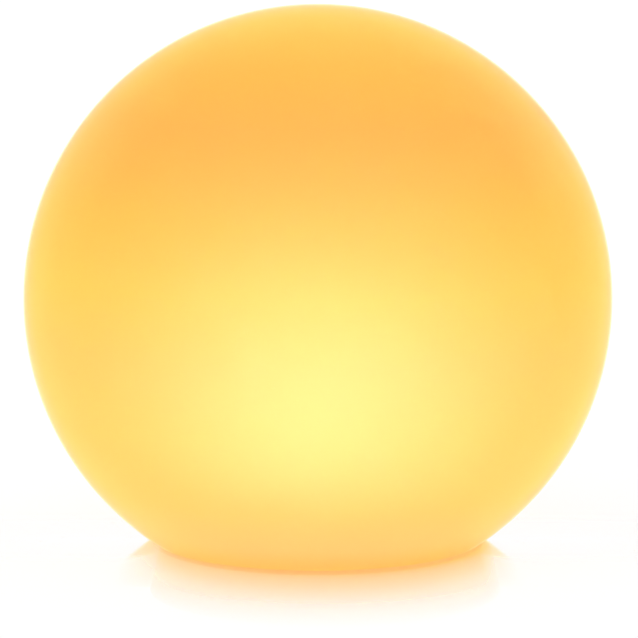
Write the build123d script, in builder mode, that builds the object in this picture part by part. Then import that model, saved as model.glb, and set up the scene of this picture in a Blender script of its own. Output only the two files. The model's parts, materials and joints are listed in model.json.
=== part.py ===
from build123d import *

import os
from math import cos, radians, sin, sqrt, tan

# A cordless garden globe light: a satin opal glass globe with a flat foot, bonded to a
# collar that a quarter-turn locking ring holds on a sealed light module. The module has a
# push button, a hinged charging inlet, two cells, a control board and an eight-sided LED
# tower under an opal dome. Millimetres, +Z up, origin on the ground under the globe's axis.

# --- Globe ---------------------------------------------------------------------------
GLOBE_RADIUS = 125.0
GLASS_WALL = 3.5
GLASS_FLOOR = 4.0
FOOT_CUT_RADIUS = 70.5  # where the sphere meets the plane of its foot
FOOT_GAP = 0.8  # the glass stands this far off the ground
FOOT_ROUND = 2.0
NECK_RADIUS = 60.0
NECK_HEIGHT = 15.0
NECK_ROUND = 1.4
INNER_ROUND = 2.6

GLOBE_CENTRE_Z = FOOT_GAP + sqrt(GLOBE_RADIUS**2 - FOOT_CUT_RADIUS**2)
GLASS_FLOOR_Z = FOOT_GAP + GLASS_FLOOR
INNER_RADIUS = GLOBE_RADIUS - GLASS_WALL

# --- Heights of the module's stack, from the ground up ---------------------------------
COVER_Z = 1.0
COVER_LIP_TOP = 2.5
COVER_TOP = 4.5
COVER_RIM_TOP = 6.0
SKIRT_Z = 2.6
FLANGE_Z = 6.3
FLANGE_TOP = 9.3
TUB_STEP_Z = 7.4
GASKET_TOP = 10.6
COLLAR_TOP = 13.4
BOARD_Z = 11.7
BOARD_TOP = 13.3
BOSS_TOP = 14.4
CELL_AXIS_Z = 24.4
DECK_Z = 35.2
DECK_TOP = 37.5
SPREADER_Z = 38.3
SPREADER_TOP = 41.3
COLUMN_TOP = 66.3
TOP_BOARD_TOP = 67.5
DOME_SHOULDER_Z = 54.0

# --- Collar, gasket and locking ring ---------------------------------------------------
BOND = 0.4
COLLAR_RADIUS = NECK_RADIUS - BOND
COLLAR_BORE = 55.6
COLLAR_Z = 1.0
LEDGE_BORE = 51.2
LUG_COUNT = 3
LUG_SPAN = 20.0
LUG_TURN = 24.0
LUG_REACH = 57.6
LUG_Z = 3.7
LUG_TOP = 5.8
LUG_FIRST = 80.0  # angle at which the first lug begins when locked
GROOVE_REACH = 58.0
GROOVE_Z = 3.5
GROOVE_TOP = 6.0
SLOT_SLACK = 1.0  # angle left free each side of a lug
RING_RADIUS = 55.2
RING_BORE = 46.5
RING_LIP_BORE = 48.4
RING_TOP = 6.2
GRIP_RADIUS = 51.8
GRIP_WIDTH = 4.4
GRIP_SPAN = 26.0
GRIP_DEPTH = 1.5
KEY_FIRST = 30.0
KEY_WIDTH = 6.0
KEY_REACH = 57.0
KEY_SLACK = 0.3

# --- Tub -------------------------------------------------------------------------------
TUB_RADIUS = 50.4
TUB_WALL = 2.4
TUB_ROUND = 0.8
SKIRT_RADIUS = 46.4
SKIRT_BORE = 44.0
FLANGE_RADIUS = 55.2
BOSS_CIRCLE = 36.5
BOSS_RADIUS = 3.2
BOSS_COUNT = 6
PILOT_RADIUS = 1.5
GUSSET = 1.6
CLAMP_X = 16.0
CLAMP_Y = 23.4
CLAMP_POST_Z = 19.0
ENGINE_CIRCLE = 34.0
ENGINE_COUNT = 4
ENGINE_BOSS_Z = 29.0
WIRE_Y = 23.4
WIRE_HOLE = 2.6
GROMMET_RADIUS = 3.4

# --- Cover and what it carries ---------------------------------------------------------
COVER_RADIUS = 48.0
SPIGOT_RADIUS = 43.8
RIM_BORE = 40.2
SEAL_GROOVE = 42.2
SEAL_Z = 3.2
SEAL_TOP = 5.0
FOOT_INNER = 42.0
FOOT_OUTER = 47.0
FOOT_SINK = 0.4
HEAD_RADIUS = 2.8
HEAD_BORE = 3.1
HEAD_DEPTH = 2.1
SHANK_RADIUS = 1.45
BUTTON_RADIUS = 7.7
BUTTON_BORE = 8.0
BUTTON_Z = 1.3
BUTTON_FLANGE = 9.4
BUTTON_STEM = 1.6
BUTTON_TRAVEL = 1.0
BOOT_RADIUS = 13.2
PLUNGER_Z = 7.4
SWITCH_Z = 8.3
SWITCH_SIDE = 6.2
PLUNGER_RADIUS = 1.45
INLET_Y = -24.5
POCKET_LENGTH = 19.0
POCKET_WIDTH = 10.6
POCKET_DEPTH = 1.9
SOCKET_LENGTH = 8.9
SOCKET_WIDTH = 3.2
SOCKET_Z = 3.2
CAP_PLATE_Z = 1.1
CAP_PLATE_TOP = 2.5
HINGE_Y = INLET_Y - 4.05
HINGE_Z = 1.95
PIN_RADIUS = 0.45
PIN_LENGTH = 21.6
BARREL_RADIUS = 0.9
PIN_SLACK = 0.05
LAMP_HOLE_Y = 17.0
PIPE_RADIUS = 1.3
VENT_X = 24.0
VENT_RADIUS = 5.0
POST_FIRST = 30.0

# --- Board and cells -------------------------------------------------------------------
BOARD_RADIUS = 42.6
CELL_RADIUS = 9.2
CELL_LENGTH = 65.0
CELL_GAP = 0.2
CELL_NUB = 1.0
CELL_Y = CELL_RADIUS + CELL_GAP / 2
TRAY_LENGTH = 60.0
TRAY_HALF_WIDTH = 19.6
TRAY_Z = 26.5
STRAP_WIDTH = 9.0
STRAP = 1.4
STRAP_EAR = 26.8
TAB = 0.3

# --- Light engine ----------------------------------------------------------------------
SPREADER_RADIUS = 38.0
COLUMN_SIDES = 8
COLUMN_APOTHEM = 14.0
COLUMN_WALL = 2.2
FIN_LENGTH = 5.0
FIN_THICK = 1.2
CHANNEL_CIRCLE = COLUMN_APOTHEM - COLUMN_WALL - 1.2
STRIP_WIDTH = 9.6
STRIP_HEIGHT = 22.5
STRIP = 1.0
STRIP_MID_Z = 54.0
LED_LENGTH = 3.5
LED_WIDTH = 2.8
LED_HEIGHT = 0.8
LED_PITCH = 7.0
DOME_RADIUS = 30.0
DOME_WALL = 1.6
DOME_FLANGE = 1.8
REFLECTOR_BORE = 31.0
REFLECTOR_RADIUS = 49.6
REFLECTOR_WALL = 1.3


def polar(radius, angle):
    """A point of the plan at this radius and angle in degrees."""
    return (radius * cos(radians(angle)), radius * sin(radians(angle)))


def upright(point=(0, 0)):
    """The plane through a point of the plan whose local axes are global X and Z."""
    return Plane(origin=(*point, 0), x_dir=(1, 0, 0), z_dir=(0, -1, 0))


def outline(*corners):
    """Fills the closed straight-sided outline through these corners."""
    with BuildLine() as edge:
        Polyline(*corners, close=True)
    make_face(edge.edges())


def ring_sector(inner, outer, start, span):
    """Fills one sector of a flat ring."""
    with BuildLine() as edge:
        CenterArc((0, 0), outer, start, span)
        CenterArc((0, 0), inner, start, span)
        Line(polar(inner, start), polar(outer, start))
        Line(polar(inner, start + span), polar(outer, start + span))
    make_face(edge.edges())


def screw_outline(head_radius, head_z, head_height, shank_radius, length, upward):
    """Half section of a screw whose head bears at head_z, for a turn about its own axis."""
    way = 1 if upward else -1
    under = head_z
    crown = head_z - way * head_height
    tip = head_z + way * length
    outline(
        (0, crown),
        (head_radius * 0.72, crown),
        (head_radius, crown + way * head_height * 0.4),
        (head_radius, under),
        (shank_radius, under),
        (shank_radius, tip - way * shank_radius * 0.6),
        (shank_radius * 0.5, tip),
        (0, tip),
    )


# --- The globe, its bond and its collar -------------------------------------------------

with BuildPart() as globe_shell:
    with BuildSketch(Plane.XZ) as glass:
        inner_reach = sqrt(INNER_RADIUS**2 - (GLOBE_CENTRE_Z - GLASS_FLOOR_Z) ** 2)
        neck_top = FOOT_GAP + NECK_HEIGHT
        neck_outer = NECK_RADIUS + GLASS_WALL
        with BuildLine():
            CenterArc(
                (0, GLOBE_CENTRE_Z),
                GLOBE_RADIUS,
                90,
                -90 - Vector(FOOT_CUT_RADIUS, GLOBE_CENTRE_Z - FOOT_GAP).get_angle(Vector(1, 0)),
            )
            Polyline(
                (FOOT_CUT_RADIUS, FOOT_GAP),
                (NECK_RADIUS, FOOT_GAP),
                (NECK_RADIUS, neck_top),
                (neck_outer, neck_top),
                (neck_outer, GLASS_FLOOR_Z),
                (inner_reach, GLASS_FLOOR_Z),
            )
            CenterArc(
                (0, GLOBE_CENTRE_Z),
                INNER_RADIUS,
                90,
                -90 - Vector(inner_reach, GLOBE_CENTRE_Z - GLASS_FLOOR_Z).get_angle(Vector(1, 0)),
            )
            Line((0, GLOBE_CENTRE_Z + INNER_RADIUS), (0, GLOBE_CENTRE_Z + GLOBE_RADIUS))
        make_face()
        rounds = (
            (FOOT_CUT_RADIUS, FOOT_GAP, FOOT_ROUND),
            (NECK_RADIUS, FOOT_GAP, NECK_ROUND / 2),
            (NECK_RADIUS, neck_top, NECK_ROUND),
            (neck_outer, neck_top, NECK_ROUND),
            (neck_outer, GLASS_FLOOR_Z, INNER_ROUND),
            (inner_reach, GLASS_FLOOR_Z, INNER_ROUND),
        )
        for corner_r, corner_z, size in rounds:
            fillet(glass.vertices().sort_by_distance((corner_r, corner_z))[0], size)
    revolve(axis=Axis.Z)

with BuildPart() as collar_bond:
    with BuildSketch(Plane.XZ):
        outline(
            (COLLAR_RADIUS, COLLAR_Z + 1.0),
            (NECK_RADIUS, COLLAR_Z + 1.4),
            (NECK_RADIUS, COLLAR_TOP - 0.8),
            (COLLAR_RADIUS, COLLAR_TOP - 0.4),
        )
    revolve(axis=Axis.Z)

with BuildPart() as globe_collar:
    with BuildSketch(Plane.XZ) as collar_section:
        outline(
            (COLLAR_BORE, COLLAR_Z),
            (COLLAR_RADIUS, COLLAR_Z),
            (COLLAR_RADIUS, COLLAR_TOP),
            (LEDGE_BORE, COLLAR_TOP),
            (LEDGE_BORE, GASKET_TOP),
            (COLLAR_BORE, GASKET_TOP),
        )
        chamfer(collar_section.vertices().sort_by_distance((COLLAR_RADIUS, COLLAR_TOP))[0], 0.8)
    revolve(axis=Axis.Z)
    # Each lug rises through an entry slot, then runs along its groove to the locked end.
    entry_span = LUG_SPAN + 2 * SLOT_SLACK
    for turn in range(LUG_COUNT):
        locked = LUG_FIRST + turn * 360 / LUG_COUNT - SLOT_SLACK
        with BuildSketch(Plane.XY.offset(GROOVE_Z)):
            ring_sector(COLLAR_BORE - 1, GROOVE_REACH, locked, entry_span + LUG_TURN)
        extrude(amount=GROOVE_TOP - GROOVE_Z, mode=Mode.SUBTRACT)
        with BuildSketch(Plane.XY.offset(COLLAR_Z)):
            ring_sector(COLLAR_BORE - 1, GROOVE_REACH, locked + LUG_TURN, entry_span)
        extrude(amount=GROOVE_TOP - COLLAR_Z, mode=Mode.SUBTRACT)
    with BuildSketch(Plane.XY.offset(COLLAR_Z)):
        with PolarLocations(COLLAR_BORE, LUG_COUNT, start_angle=KEY_FIRST):
            Rectangle(2 * (KEY_REACH + KEY_SLACK - COLLAR_BORE), KEY_WIDTH + 2 * KEY_SLACK)
    extrude(amount=FLANGE_TOP + KEY_SLACK - COLLAR_Z, mode=Mode.SUBTRACT)

with BuildPart() as collar_gasket:
    with BuildSketch(Plane.XZ):
        gasket_inner = LEDGE_BORE + 0.2
        gasket_mid = (gasket_inner + FLANGE_RADIUS) / 2
        bead = 0.35
        outline(
            (gasket_inner, FLANGE_TOP),
            (gasket_mid - 0.5, FLANGE_TOP),
            (gasket_mid, FLANGE_TOP + bead),
            (gasket_mid + 0.5, FLANGE_TOP),
            (FLANGE_RADIUS, FLANGE_TOP),
            (FLANGE_RADIUS, GASKET_TOP),
            (gasket_inner, GASKET_TOP),
        )
    revolve(axis=Axis.Z)

with BuildPart() as lock_ring:
    with BuildSketch(Plane.XZ) as ring_section:
        outline(
            (RING_LIP_BORE, COVER_Z),
            (RING_RADIUS, COVER_Z),
            (RING_RADIUS, RING_TOP),
            (RING_BORE, RING_TOP),
            (RING_BORE, SKIRT_Z),
            (RING_LIP_BORE, SKIRT_Z),
        )
        for ring_corner in ((RING_LIP_BORE, COVER_Z), (RING_RADIUS, COVER_Z)):
            fillet(ring_section.vertices().sort_by_distance(ring_corner)[0], 0.5)
    revolve(axis=Axis.Z)
    for turn in range(LUG_COUNT):
        lug_start = LUG_FIRST + turn * 360 / LUG_COUNT
        with BuildSketch(Plane.XY.offset(LUG_Z)):
            ring_sector(RING_RADIUS - 1, LUG_REACH, lug_start, LUG_SPAN)
        extrude(amount=LUG_TOP - LUG_Z)
    # Three finger recesses under the ring, each with a bar across it to push against.
    for turn in range(LUG_COUNT):
        grip_middle = LUG_FIRST + LUG_SPAN / 2 + turn * 360 / LUG_COUNT
        with BuildSketch(Plane.XY.offset(COVER_Z)):
            SlotArc(
                CenterArc((0, 0), GRIP_RADIUS, grip_middle - GRIP_SPAN / 2, GRIP_SPAN),
                GRIP_WIDTH,
            )
            with PolarLocations(GRIP_RADIUS, 1, start_angle=grip_middle):
                Rectangle(GRIP_WIDTH + 2, 1.8, mode=Mode.SUBTRACT)
        extrude(amount=GRIP_DEPTH, mode=Mode.SUBTRACT)

# --- The module's tub and cover ---------------------------------------------------------

with BuildPart() as base_tub:
    with BuildSketch(Plane.XZ) as tub_section:
        tub_bore = TUB_RADIUS - TUB_WALL
        outline(
            (SKIRT_BORE, SKIRT_Z),
            (SKIRT_RADIUS, SKIRT_Z),
            (SKIRT_RADIUS, FLANGE_Z),
            (FLANGE_RADIUS, FLANGE_Z),
            (FLANGE_RADIUS, FLANGE_TOP),
            (TUB_RADIUS, FLANGE_TOP),
            (TUB_RADIUS, DECK_TOP),
            (0, DECK_TOP),
            (0, DECK_Z),
            (tub_bore, DECK_Z),
            (tub_bore, TUB_STEP_Z),
            (SKIRT_BORE, TUB_STEP_Z),
        )
        fillet(tub_section.vertices().sort_by_distance((TUB_RADIUS, DECK_TOP))[0], TUB_ROUND)
    revolve(axis=Axis.Z)
    with BuildSketch(Plane.XY.offset(FLANGE_Z)):
        with PolarLocations(FLANGE_RADIUS, LUG_COUNT, start_angle=KEY_FIRST):
            Rectangle(2 * (KEY_REACH - FLANGE_RADIUS), KEY_WIDTH)
    extrude(amount=FLANGE_TOP - FLANGE_Z)
    # Bosses for the cover's screws, each tied to the wall by a gusset.
    with BuildSketch(Plane.XY.offset(COVER_TOP)):
        with PolarLocations(BOSS_CIRCLE, BOSS_COUNT):
            Circle(BOSS_RADIUS)
            Circle(PILOT_RADIUS, mode=Mode.SUBTRACT)
    extrude(amount=BOSS_TOP - COVER_TOP)
    gusset_start = BOSS_CIRCLE + BOSS_RADIUS - 0.6
    with BuildSketch(Plane.XY.offset(TUB_STEP_Z)):
        with PolarLocations((gusset_start + tub_bore + 0.5) / 2, BOSS_COUNT):
            Rectangle(tub_bore + 0.5 - gusset_start, GUSSET)
    extrude(amount=BOSS_TOP - TUB_STEP_Z)
    # Posts for the cell straps and bosses for the light engine hang from the deck.
    with BuildSketch(Plane.XY.offset(CLAMP_POST_Z)):
        with GridLocations(2 * CLAMP_X, 2 * CLAMP_Y, 2, 2):
            Circle(BOSS_RADIUS)
            Circle(PILOT_RADIUS, mode=Mode.SUBTRACT)
    extrude(amount=DECK_Z - CLAMP_POST_Z)
    with BuildSketch(Plane.XY.offset(ENGINE_BOSS_Z)):
        with PolarLocations(ENGINE_CIRCLE, ENGINE_COUNT, start_angle=45):
            Circle(BOSS_RADIUS)
    extrude(amount=DECK_Z - ENGINE_BOSS_Z)
    with PolarLocations(ENGINE_CIRCLE, ENGINE_COUNT, start_angle=45):
        with Locations((0, 0, DECK_TOP)):
            Hole(PILOT_RADIUS, depth=DECK_TOP - ENGINE_BOSS_Z)
    with Locations((0, WIRE_Y, DECK_TOP)):
        Hole(WIRE_HOLE, depth=DECK_TOP - DECK_Z)

with BuildPart() as base_cover:
    with BuildSketch(Plane.XZ):
        outline(
            (0, COVER_Z),
            (COVER_RADIUS, COVER_Z),
            (COVER_RADIUS, COVER_LIP_TOP),
            (SPIGOT_RADIUS, COVER_LIP_TOP),
            (SPIGOT_RADIUS, SEAL_Z),
            (SEAL_GROOVE, SEAL_Z),
            (SEAL_GROOVE, SEAL_TOP),
            (SPIGOT_RADIUS, SEAL_TOP),
            (SPIGOT_RADIUS, COVER_RIM_TOP),
            (RIM_BORE, COVER_RIM_TOP),
            (RIM_BORE, COVER_TOP),
            (0, COVER_TOP),
        )
    revolve(axis=Axis.Z)
    # Posts that carry the control board, and a web between each post and the rim.
    with BuildSketch(Plane.XY.offset(COVER_TOP)):
        for post_angle in (POST_FIRST, 180 - POST_FIRST, 180 + POST_FIRST, -POST_FIRST):
            with PolarLocations(BOSS_CIRCLE, 1, start_angle=post_angle):
                Circle(2.6)
                Circle(1.25, mode=Mode.SUBTRACT)
    extrude(amount=BOARD_Z - COVER_TOP)
    with BuildSketch(Plane.XY.offset(COVER_Z)):
        Circle(FOOT_OUTER)
        Circle(FOOT_INNER, mode=Mode.SUBTRACT)
    extrude(amount=FOOT_SINK, mode=Mode.SUBTRACT)
    with Locations(Plane.XY.offset(COVER_Z).rotated((180, 0, 0))):
        with PolarLocations(BOSS_CIRCLE, BOSS_COUNT):
            CounterBoreHole(1.6, HEAD_BORE, HEAD_DEPTH, depth=COVER_TOP - COVER_Z)
        Hole(BUTTON_BORE, depth=COVER_TOP - COVER_Z)
        with Locations((0, -LAMP_HOLE_Y)):
            Hole(PIPE_RADIUS + PIN_SLACK, depth=COVER_TOP - COVER_Z)
        with Locations((VENT_X, 0)):
            CounterBoreHole(3.05, VENT_RADIUS + 0.3, 1.0, depth=COVER_TOP - COVER_Z)
    # The inlet's pocket, the way through to its socket and the seats of the flap's pin.
    with BuildSketch(Plane.XY.offset(COVER_Z)) as pocket:
        with Locations((0, INLET_Y)):
            RectangleRounded(POCKET_LENGTH, POCKET_WIDTH, 1.0)
    extrude(amount=POCKET_DEPTH, mode=Mode.SUBTRACT)
    with BuildSketch(Plane.XY.offset(COVER_Z)):
        with Locations((0, INLET_Y)):
            SlotOverall(SOCKET_LENGTH + 0.8, SOCKET_WIDTH + 0.8)
    extrude(amount=COVER_TOP - COVER_Z, mode=Mode.SUBTRACT)
    with BuildSketch(Plane.YZ.offset(-PIN_LENGTH / 2)):
        with Locations((HINGE_Y, HINGE_Z)):
            Circle(PIN_RADIUS)
    extrude(amount=PIN_LENGTH, mode=Mode.SUBTRACT)

with BuildPart() as cover_seal:
    seal_cord = 0.85
    with BuildSketch(Plane.XZ):
        with Locations((SPIGOT_RADIUS - seal_cord + 0.1, (SEAL_Z + SEAL_TOP) / 2)):
            Circle(seal_cord)
    revolve(axis=Axis.Z)

with BuildPart() as foot_ring:
    with BuildSketch(Plane.XZ) as foot_section:
        outline(
            (FOOT_INNER, 0),
            (FOOT_OUTER, 0),
            (FOOT_OUTER, COVER_Z + FOOT_SINK),
            (FOOT_INNER, COVER_Z + FOOT_SINK),
        )
        for foot_corner in ((FOOT_INNER, 0), (FOOT_OUTER, 0)):
            fillet(foot_section.vertices().sort_by_distance(foot_corner)[0], 0.5)
    revolve(axis=Axis.Z)

with BuildPart() as cover_screws:
    for screw in range(BOSS_COUNT):
        seat = upright(polar(BOSS_CIRCLE, screw * 360 / BOSS_COUNT))
        with BuildSketch(seat):
            screw_outline(HEAD_RADIUS, COVER_Z + HEAD_DEPTH, 1.8, SHANK_RADIUS, 9.0, True)
        revolve(axis=Axis(seat.origin, (0, 0, 1)))

# --- Button, switch, inlet, light pipe and vent ------------------------------------------

with BuildPart() as power_button:
    with BuildSketch(Plane.XZ) as button_section:
        dish = 0.5
        with BuildLine():
            ThreePointArc(
                (0, BUTTON_Z + dish),
                (BUTTON_RADIUS * 0.45, BUTTON_Z + dish * 0.78),
                (BUTTON_RADIUS * 0.82, BUTTON_Z),
            )
            Polyline(
                (BUTTON_RADIUS * 0.82, BUTTON_Z),
                (BUTTON_RADIUS - 0.5, BUTTON_Z),
                (BUTTON_RADIUS, BUTTON_Z + 0.5),
                (BUTTON_RADIUS, COVER_TOP + 0.1),
                (BUTTON_FLANGE, COVER_TOP + 0.1),
                (BUTTON_FLANGE, COVER_TOP + 1.1),
                (BUTTON_STEM, COVER_TOP + 1.1),
                (BUTTON_STEM, PLUNGER_Z),
                (0, PLUNGER_Z),
                (0, BUTTON_Z + dish),
            )
        make_face()
    revolve(axis=Axis.Z)

with BuildPart() as button_boot:
    with BuildSketch(Plane.XZ):
        boot_lip = BUTTON_FLANGE + 0.1
        outline(
            (boot_lip, COVER_TOP + 0.2),
            (boot_lip + 0.7, COVER_TOP + 0.2),
            (boot_lip + 0.7, COVER_TOP + 0.7),
            (BOOT_RADIUS - 1.4, COVER_TOP + 0.7),
            (BOOT_RADIUS - 1.4, COVER_TOP),
            (BOOT_RADIUS, COVER_TOP),
            (BOOT_RADIUS, COVER_TOP + 1.3),
            (boot_lip, COVER_TOP + 1.3),
        )
    revolve(axis=Axis.Z)

with BuildPart() as switch_plunger:
    with BuildSketch(Plane.XY.offset(PLUNGER_Z)):
        Circle(PLUNGER_RADIUS)
    extrude(amount=2.0)
    chamfer(switch_plunger.faces().sort_by(Axis.Z)[0].edges(), 0.3)

with BuildPart() as tact_switch:
    switch_body = BOARD_Z - SWITCH_Z
    with Locations((0, 0, SWITCH_Z + switch_body / 2)):
        Box(SWITCH_SIDE, SWITCH_SIDE, switch_body)
    chamfer(tact_switch.faces().sort_by(Axis.Z)[0].edges(), 0.4)
    with BuildSketch(Plane.XY.offset(SWITCH_Z)):
        Circle(PLUNGER_RADIUS + 0.15)
    extrude(amount=PLUNGER_Z + 2.0 + BUTTON_TRAVEL + 0.2 - SWITCH_Z, mode=Mode.SUBTRACT)
    with BuildSketch(Plane.XY.offset(BOARD_Z)):
        with GridLocations(SWITCH_SIDE + 0.9, 4.5, 2, 2):
            Rectangle(0.9, 0.7)
    extrude(amount=-1.6)

with BuildPart() as charge_socket:
    with BuildSketch(Plane.XY.offset(SOCKET_Z)):
        with Locations((0, INLET_Y)):
            SlotOverall(SOCKET_LENGTH, SOCKET_WIDTH)
    extrude(amount=BOARD_Z - SOCKET_Z)
    with BuildSketch(Plane.XY.offset(SOCKET_Z)):
        with Locations((0, INLET_Y)):
            SlotOverall(SOCKET_LENGTH - 0.6, SOCKET_WIDTH - 0.6)
    extrude(amount=6.2, mode=Mode.SUBTRACT)
    # The contact tongue stands in the middle of the shell.
    with Locations((0, INLET_Y, SOCKET_Z + 3.7)):
        Box(6.6, 0.7, 5.2)
    with Locations((0, INLET_Y, BOARD_Z - 1.2)):
        Box(9.4, 4.6, 2.4)

with BuildPart() as inlet_cap:
    with BuildSketch(Plane.XY.offset(CAP_PLATE_Z)):
        with Locations((0, INLET_Y + 0.35)):
            RectangleRounded(POCKET_LENGTH - 0.8, POCKET_WIDTH - 1.7, 0.8)
    extrude(amount=CAP_PLATE_TOP - CAP_PLATE_Z)
    chamfer(inlet_cap.faces().sort_by(Axis.Z)[0].edges(), 0.3)
    with BuildSketch(Plane.XY.offset(CAP_PLATE_TOP)):
        with Locations((0, INLET_Y)):
            SlotOverall(7.4, 1.7)
    extrude(amount=1.2)
    # Knuckle of the hinge, bored for the pin with running clearance.
    with BuildSketch(Plane.YZ.offset(-POCKET_LENGTH / 2 + 0.4)):
        with Locations((HINGE_Y, HINGE_Z)):
            Circle(BARREL_RADIUS)
    extrude(amount=POCKET_LENGTH - 0.8)
    with BuildSketch(Plane.YZ.offset(-POCKET_LENGTH / 2)):
        with Locations((HINGE_Y, HINGE_Z)):
            Circle(PIN_RADIUS + PIN_SLACK)
    extrude(amount=POCKET_LENGTH, mode=Mode.SUBTRACT)
    # Nail nick at the free edge.
    with BuildSketch(Plane.XY.offset(CAP_PLATE_Z)):
        with Locations((0, INLET_Y + 0.35 + (POCKET_WIDTH - 1.7) / 2)):
            SlotOverall(6.0, 1.6)
    extrude(amount=0.5, mode=Mode.SUBTRACT)

with BuildPart() as cap_pin:
    with BuildSketch(Plane.YZ.offset(-PIN_LENGTH / 2)):
        with Locations((HINGE_Y, HINGE_Z)):
            Circle(PIN_RADIUS)
    extrude(amount=PIN_LENGTH)

with BuildPart() as cap_seal:
    with BuildSketch(Plane.XY.offset(CAP_PLATE_TOP)):
        with Locations((0, INLET_Y)):
            SlotOverall(12.6, 6.6)
            SlotOverall(10.8, 4.8, mode=Mode.SUBTRACT)
    extrude(amount=COVER_Z + POCKET_DEPTH - CAP_PLATE_TOP)

with BuildPart() as status_light_pipe:
    with BuildSketch(Plane.XZ.offset(-LAMP_HOLE_Y)):
        outline(
            (0, COVER_Z + 0.2),
            (PIPE_RADIUS - 0.3, COVER_Z + 0.2),
            (PIPE_RADIUS, COVER_Z + 0.5),
            (PIPE_RADIUS, COVER_TOP),
            (PIPE_RADIUS + 1.1, COVER_TOP),
            (PIPE_RADIUS + 1.1, COVER_TOP + 1.0),
            (PIPE_RADIUS, COVER_TOP + 1.0),
            (PIPE_RADIUS - 0.3, BOARD_Z - 1.0),
            (0, BOARD_Z - 1.0),
        )
    revolve(axis=Axis((0, LAMP_HOLE_Y, 0), (0, 0, 1)))

with BuildPart() as status_led:
    with Locations((0, LAMP_HOLE_Y, BOARD_Z - 0.4)):
        Box(3.0, 1.6, 0.8)

with BuildPart() as breather_vent:
    with BuildSketch(Plane.XZ):
        outline(
            (0, COVER_Z + 0.3),
            (VENT_RADIUS - 0.5, COVER_Z + 0.3),
            (VENT_RADIUS, COVER_Z + 0.6),
            (VENT_RADIUS, COVER_Z + 1.0),
            (3.0, COVER_Z + 1.0),
            (3.0, COVER_TOP + 0.1),
            (3.6, COVER_TOP + 0.1),
            (3.0, COVER_TOP + 1.6),
            (1.4, COVER_TOP + 1.6),
            (1.4, COVER_Z + 1.4),
            (0, COVER_Z + 1.4),
        )
    revolve(axis=Axis.Z)
    with BuildSketch(Plane.XY.offset(COVER_Z)):
        with PolarLocations(VENT_RADIUS, 4, start_angle=45):
            Rectangle(5.4, 0.8)
    extrude(amount=0.75, mode=Mode.SUBTRACT)
breather_vent.part.position = (VENT_X, 0, 0)

# --- Control board and cells --------------------------------------------------------------

with BuildPart() as control_board:
    with BuildSketch(Plane.XY.offset(BOARD_Z)):
        Circle(BOARD_RADIUS)
        with PolarLocations(BOSS_CIRCLE, BOSS_COUNT):
            Circle(BOSS_RADIUS + 0.5, mode=Mode.SUBTRACT)
        with PolarLocations(BOSS_CIRCLE + 5, BOSS_COUNT):
            Rectangle(10, 2 * (BOSS_RADIUS + 0.5), mode=Mode.SUBTRACT)
        for post_angle in (POST_FIRST, 180 - POST_FIRST, 180 + POST_FIRST, -POST_FIRST):
            with PolarLocations(BOSS_CIRCLE, 1, start_angle=post_angle):
                Circle(1.35, mode=Mode.SUBTRACT)
    extrude(amount=BOARD_TOP - BOARD_Z)

with BuildPart() as board_screws:
    for post_angle in (POST_FIRST, 180 - POST_FIRST, 180 + POST_FIRST, -POST_FIRST):
        seat = upright(polar(BOSS_CIRCLE, post_angle))
        with BuildSketch(seat):
            screw_outline(2.2, BOARD_TOP, 1.5, 1.2, 7.5, False)
        revolve(axis=Axis(seat.origin, (0, 0, 1)))

CHIPS = (  # x, y, length, width, height
    (-4.5, 5.0, 9.0, 9.0, 1.0),
    (6.5, -6.0, 5.0, 6.2, 1.5),
    (26.5, 29.0, 7.0, 7.0, 1.6),
    (-26.0, 0.0, 5.0, 5.0, 0.9),
)
with BuildPart() as board_chips:
    for chip_x, chip_y, chip_length, chip_width, chip_height in CHIPS:
        with Locations((chip_x, chip_y, BOARD_TOP + chip_height / 2)):
            Box(chip_length, chip_width, chip_height)
    chamfer(board_chips.faces().group_by(Axis.Z)[-1].edges(), 0.3)

INDUCTOR_SIDE = 9.6
INDUCTOR_AT = (-8.2, 33.5)
with BuildPart() as board_inductor:
    with BuildSketch(Plane.XY.offset(BOARD_TOP)) as coil_base:
        with Locations(INDUCTOR_AT):
            RectangleRounded(INDUCTOR_SIDE, INDUCTOR_SIDE, 1.5)
    extrude(amount=1.2)
    with BuildSketch(Plane.XY.offset(BOARD_TOP + 1.2)):
        with Locations(INDUCTOR_AT):
            Circle(3.4)
    extrude(amount=2.6)
    with BuildSketch(Plane.XY.offset(BOARD_TOP + 3.8)):
        with Locations(INDUCTOR_AT):
            Circle(4.6)
    extrude(amount=1.2)

CAPACITOR_RADIUS = 4.0
CAPACITOR_HEIGHT = 10.5
CAPACITORS_AT = ((-4.8, -32.0), (4.8, -32.0))
with BuildPart() as board_capacitors:
    with BuildSketch(Plane.XY.offset(BOARD_TOP)):
        with Locations(*CAPACITORS_AT):
            Circle(CAPACITOR_RADIUS)
    extrude(amount=1.6)
    with BuildSketch(Plane.XY.offset(BOARD_TOP + 1.6)):
        with Locations(*CAPACITORS_AT):
            Circle(CAPACITOR_RADIUS - 0.35)
    extrude(amount=0.8)
    with BuildSketch(Plane.XY.offset(BOARD_TOP + 2.4)):
        with Locations(*CAPACITORS_AT):
            Circle(CAPACITOR_RADIUS)
    extrude(amount=CAPACITOR_HEIGHT - 2.4)
    chamfer(board_capacitors.faces().group_by(Axis.Z)[-1].edges(), 0.5)

LED_SOCKET_AT = (3.6, 31.5)
CELL_SOCKET_AT = (26.5, -27.0)
SOCKET_HEIGHT = 6.0
with BuildPart() as board_sockets:
    for socket_at in (LED_SOCKET_AT, CELL_SOCKET_AT):
        with Locations((*socket_at, BOARD_TOP + SOCKET_HEIGHT / 2)):
            Box(7.4, 5.0, SOCKET_HEIGHT)
        with Locations((*socket_at, BOARD_TOP + SOCKET_HEIGHT - 2.0)):
            Box(5.8, 3.6, 4.0, mode=Mode.SUBTRACT)

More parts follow.
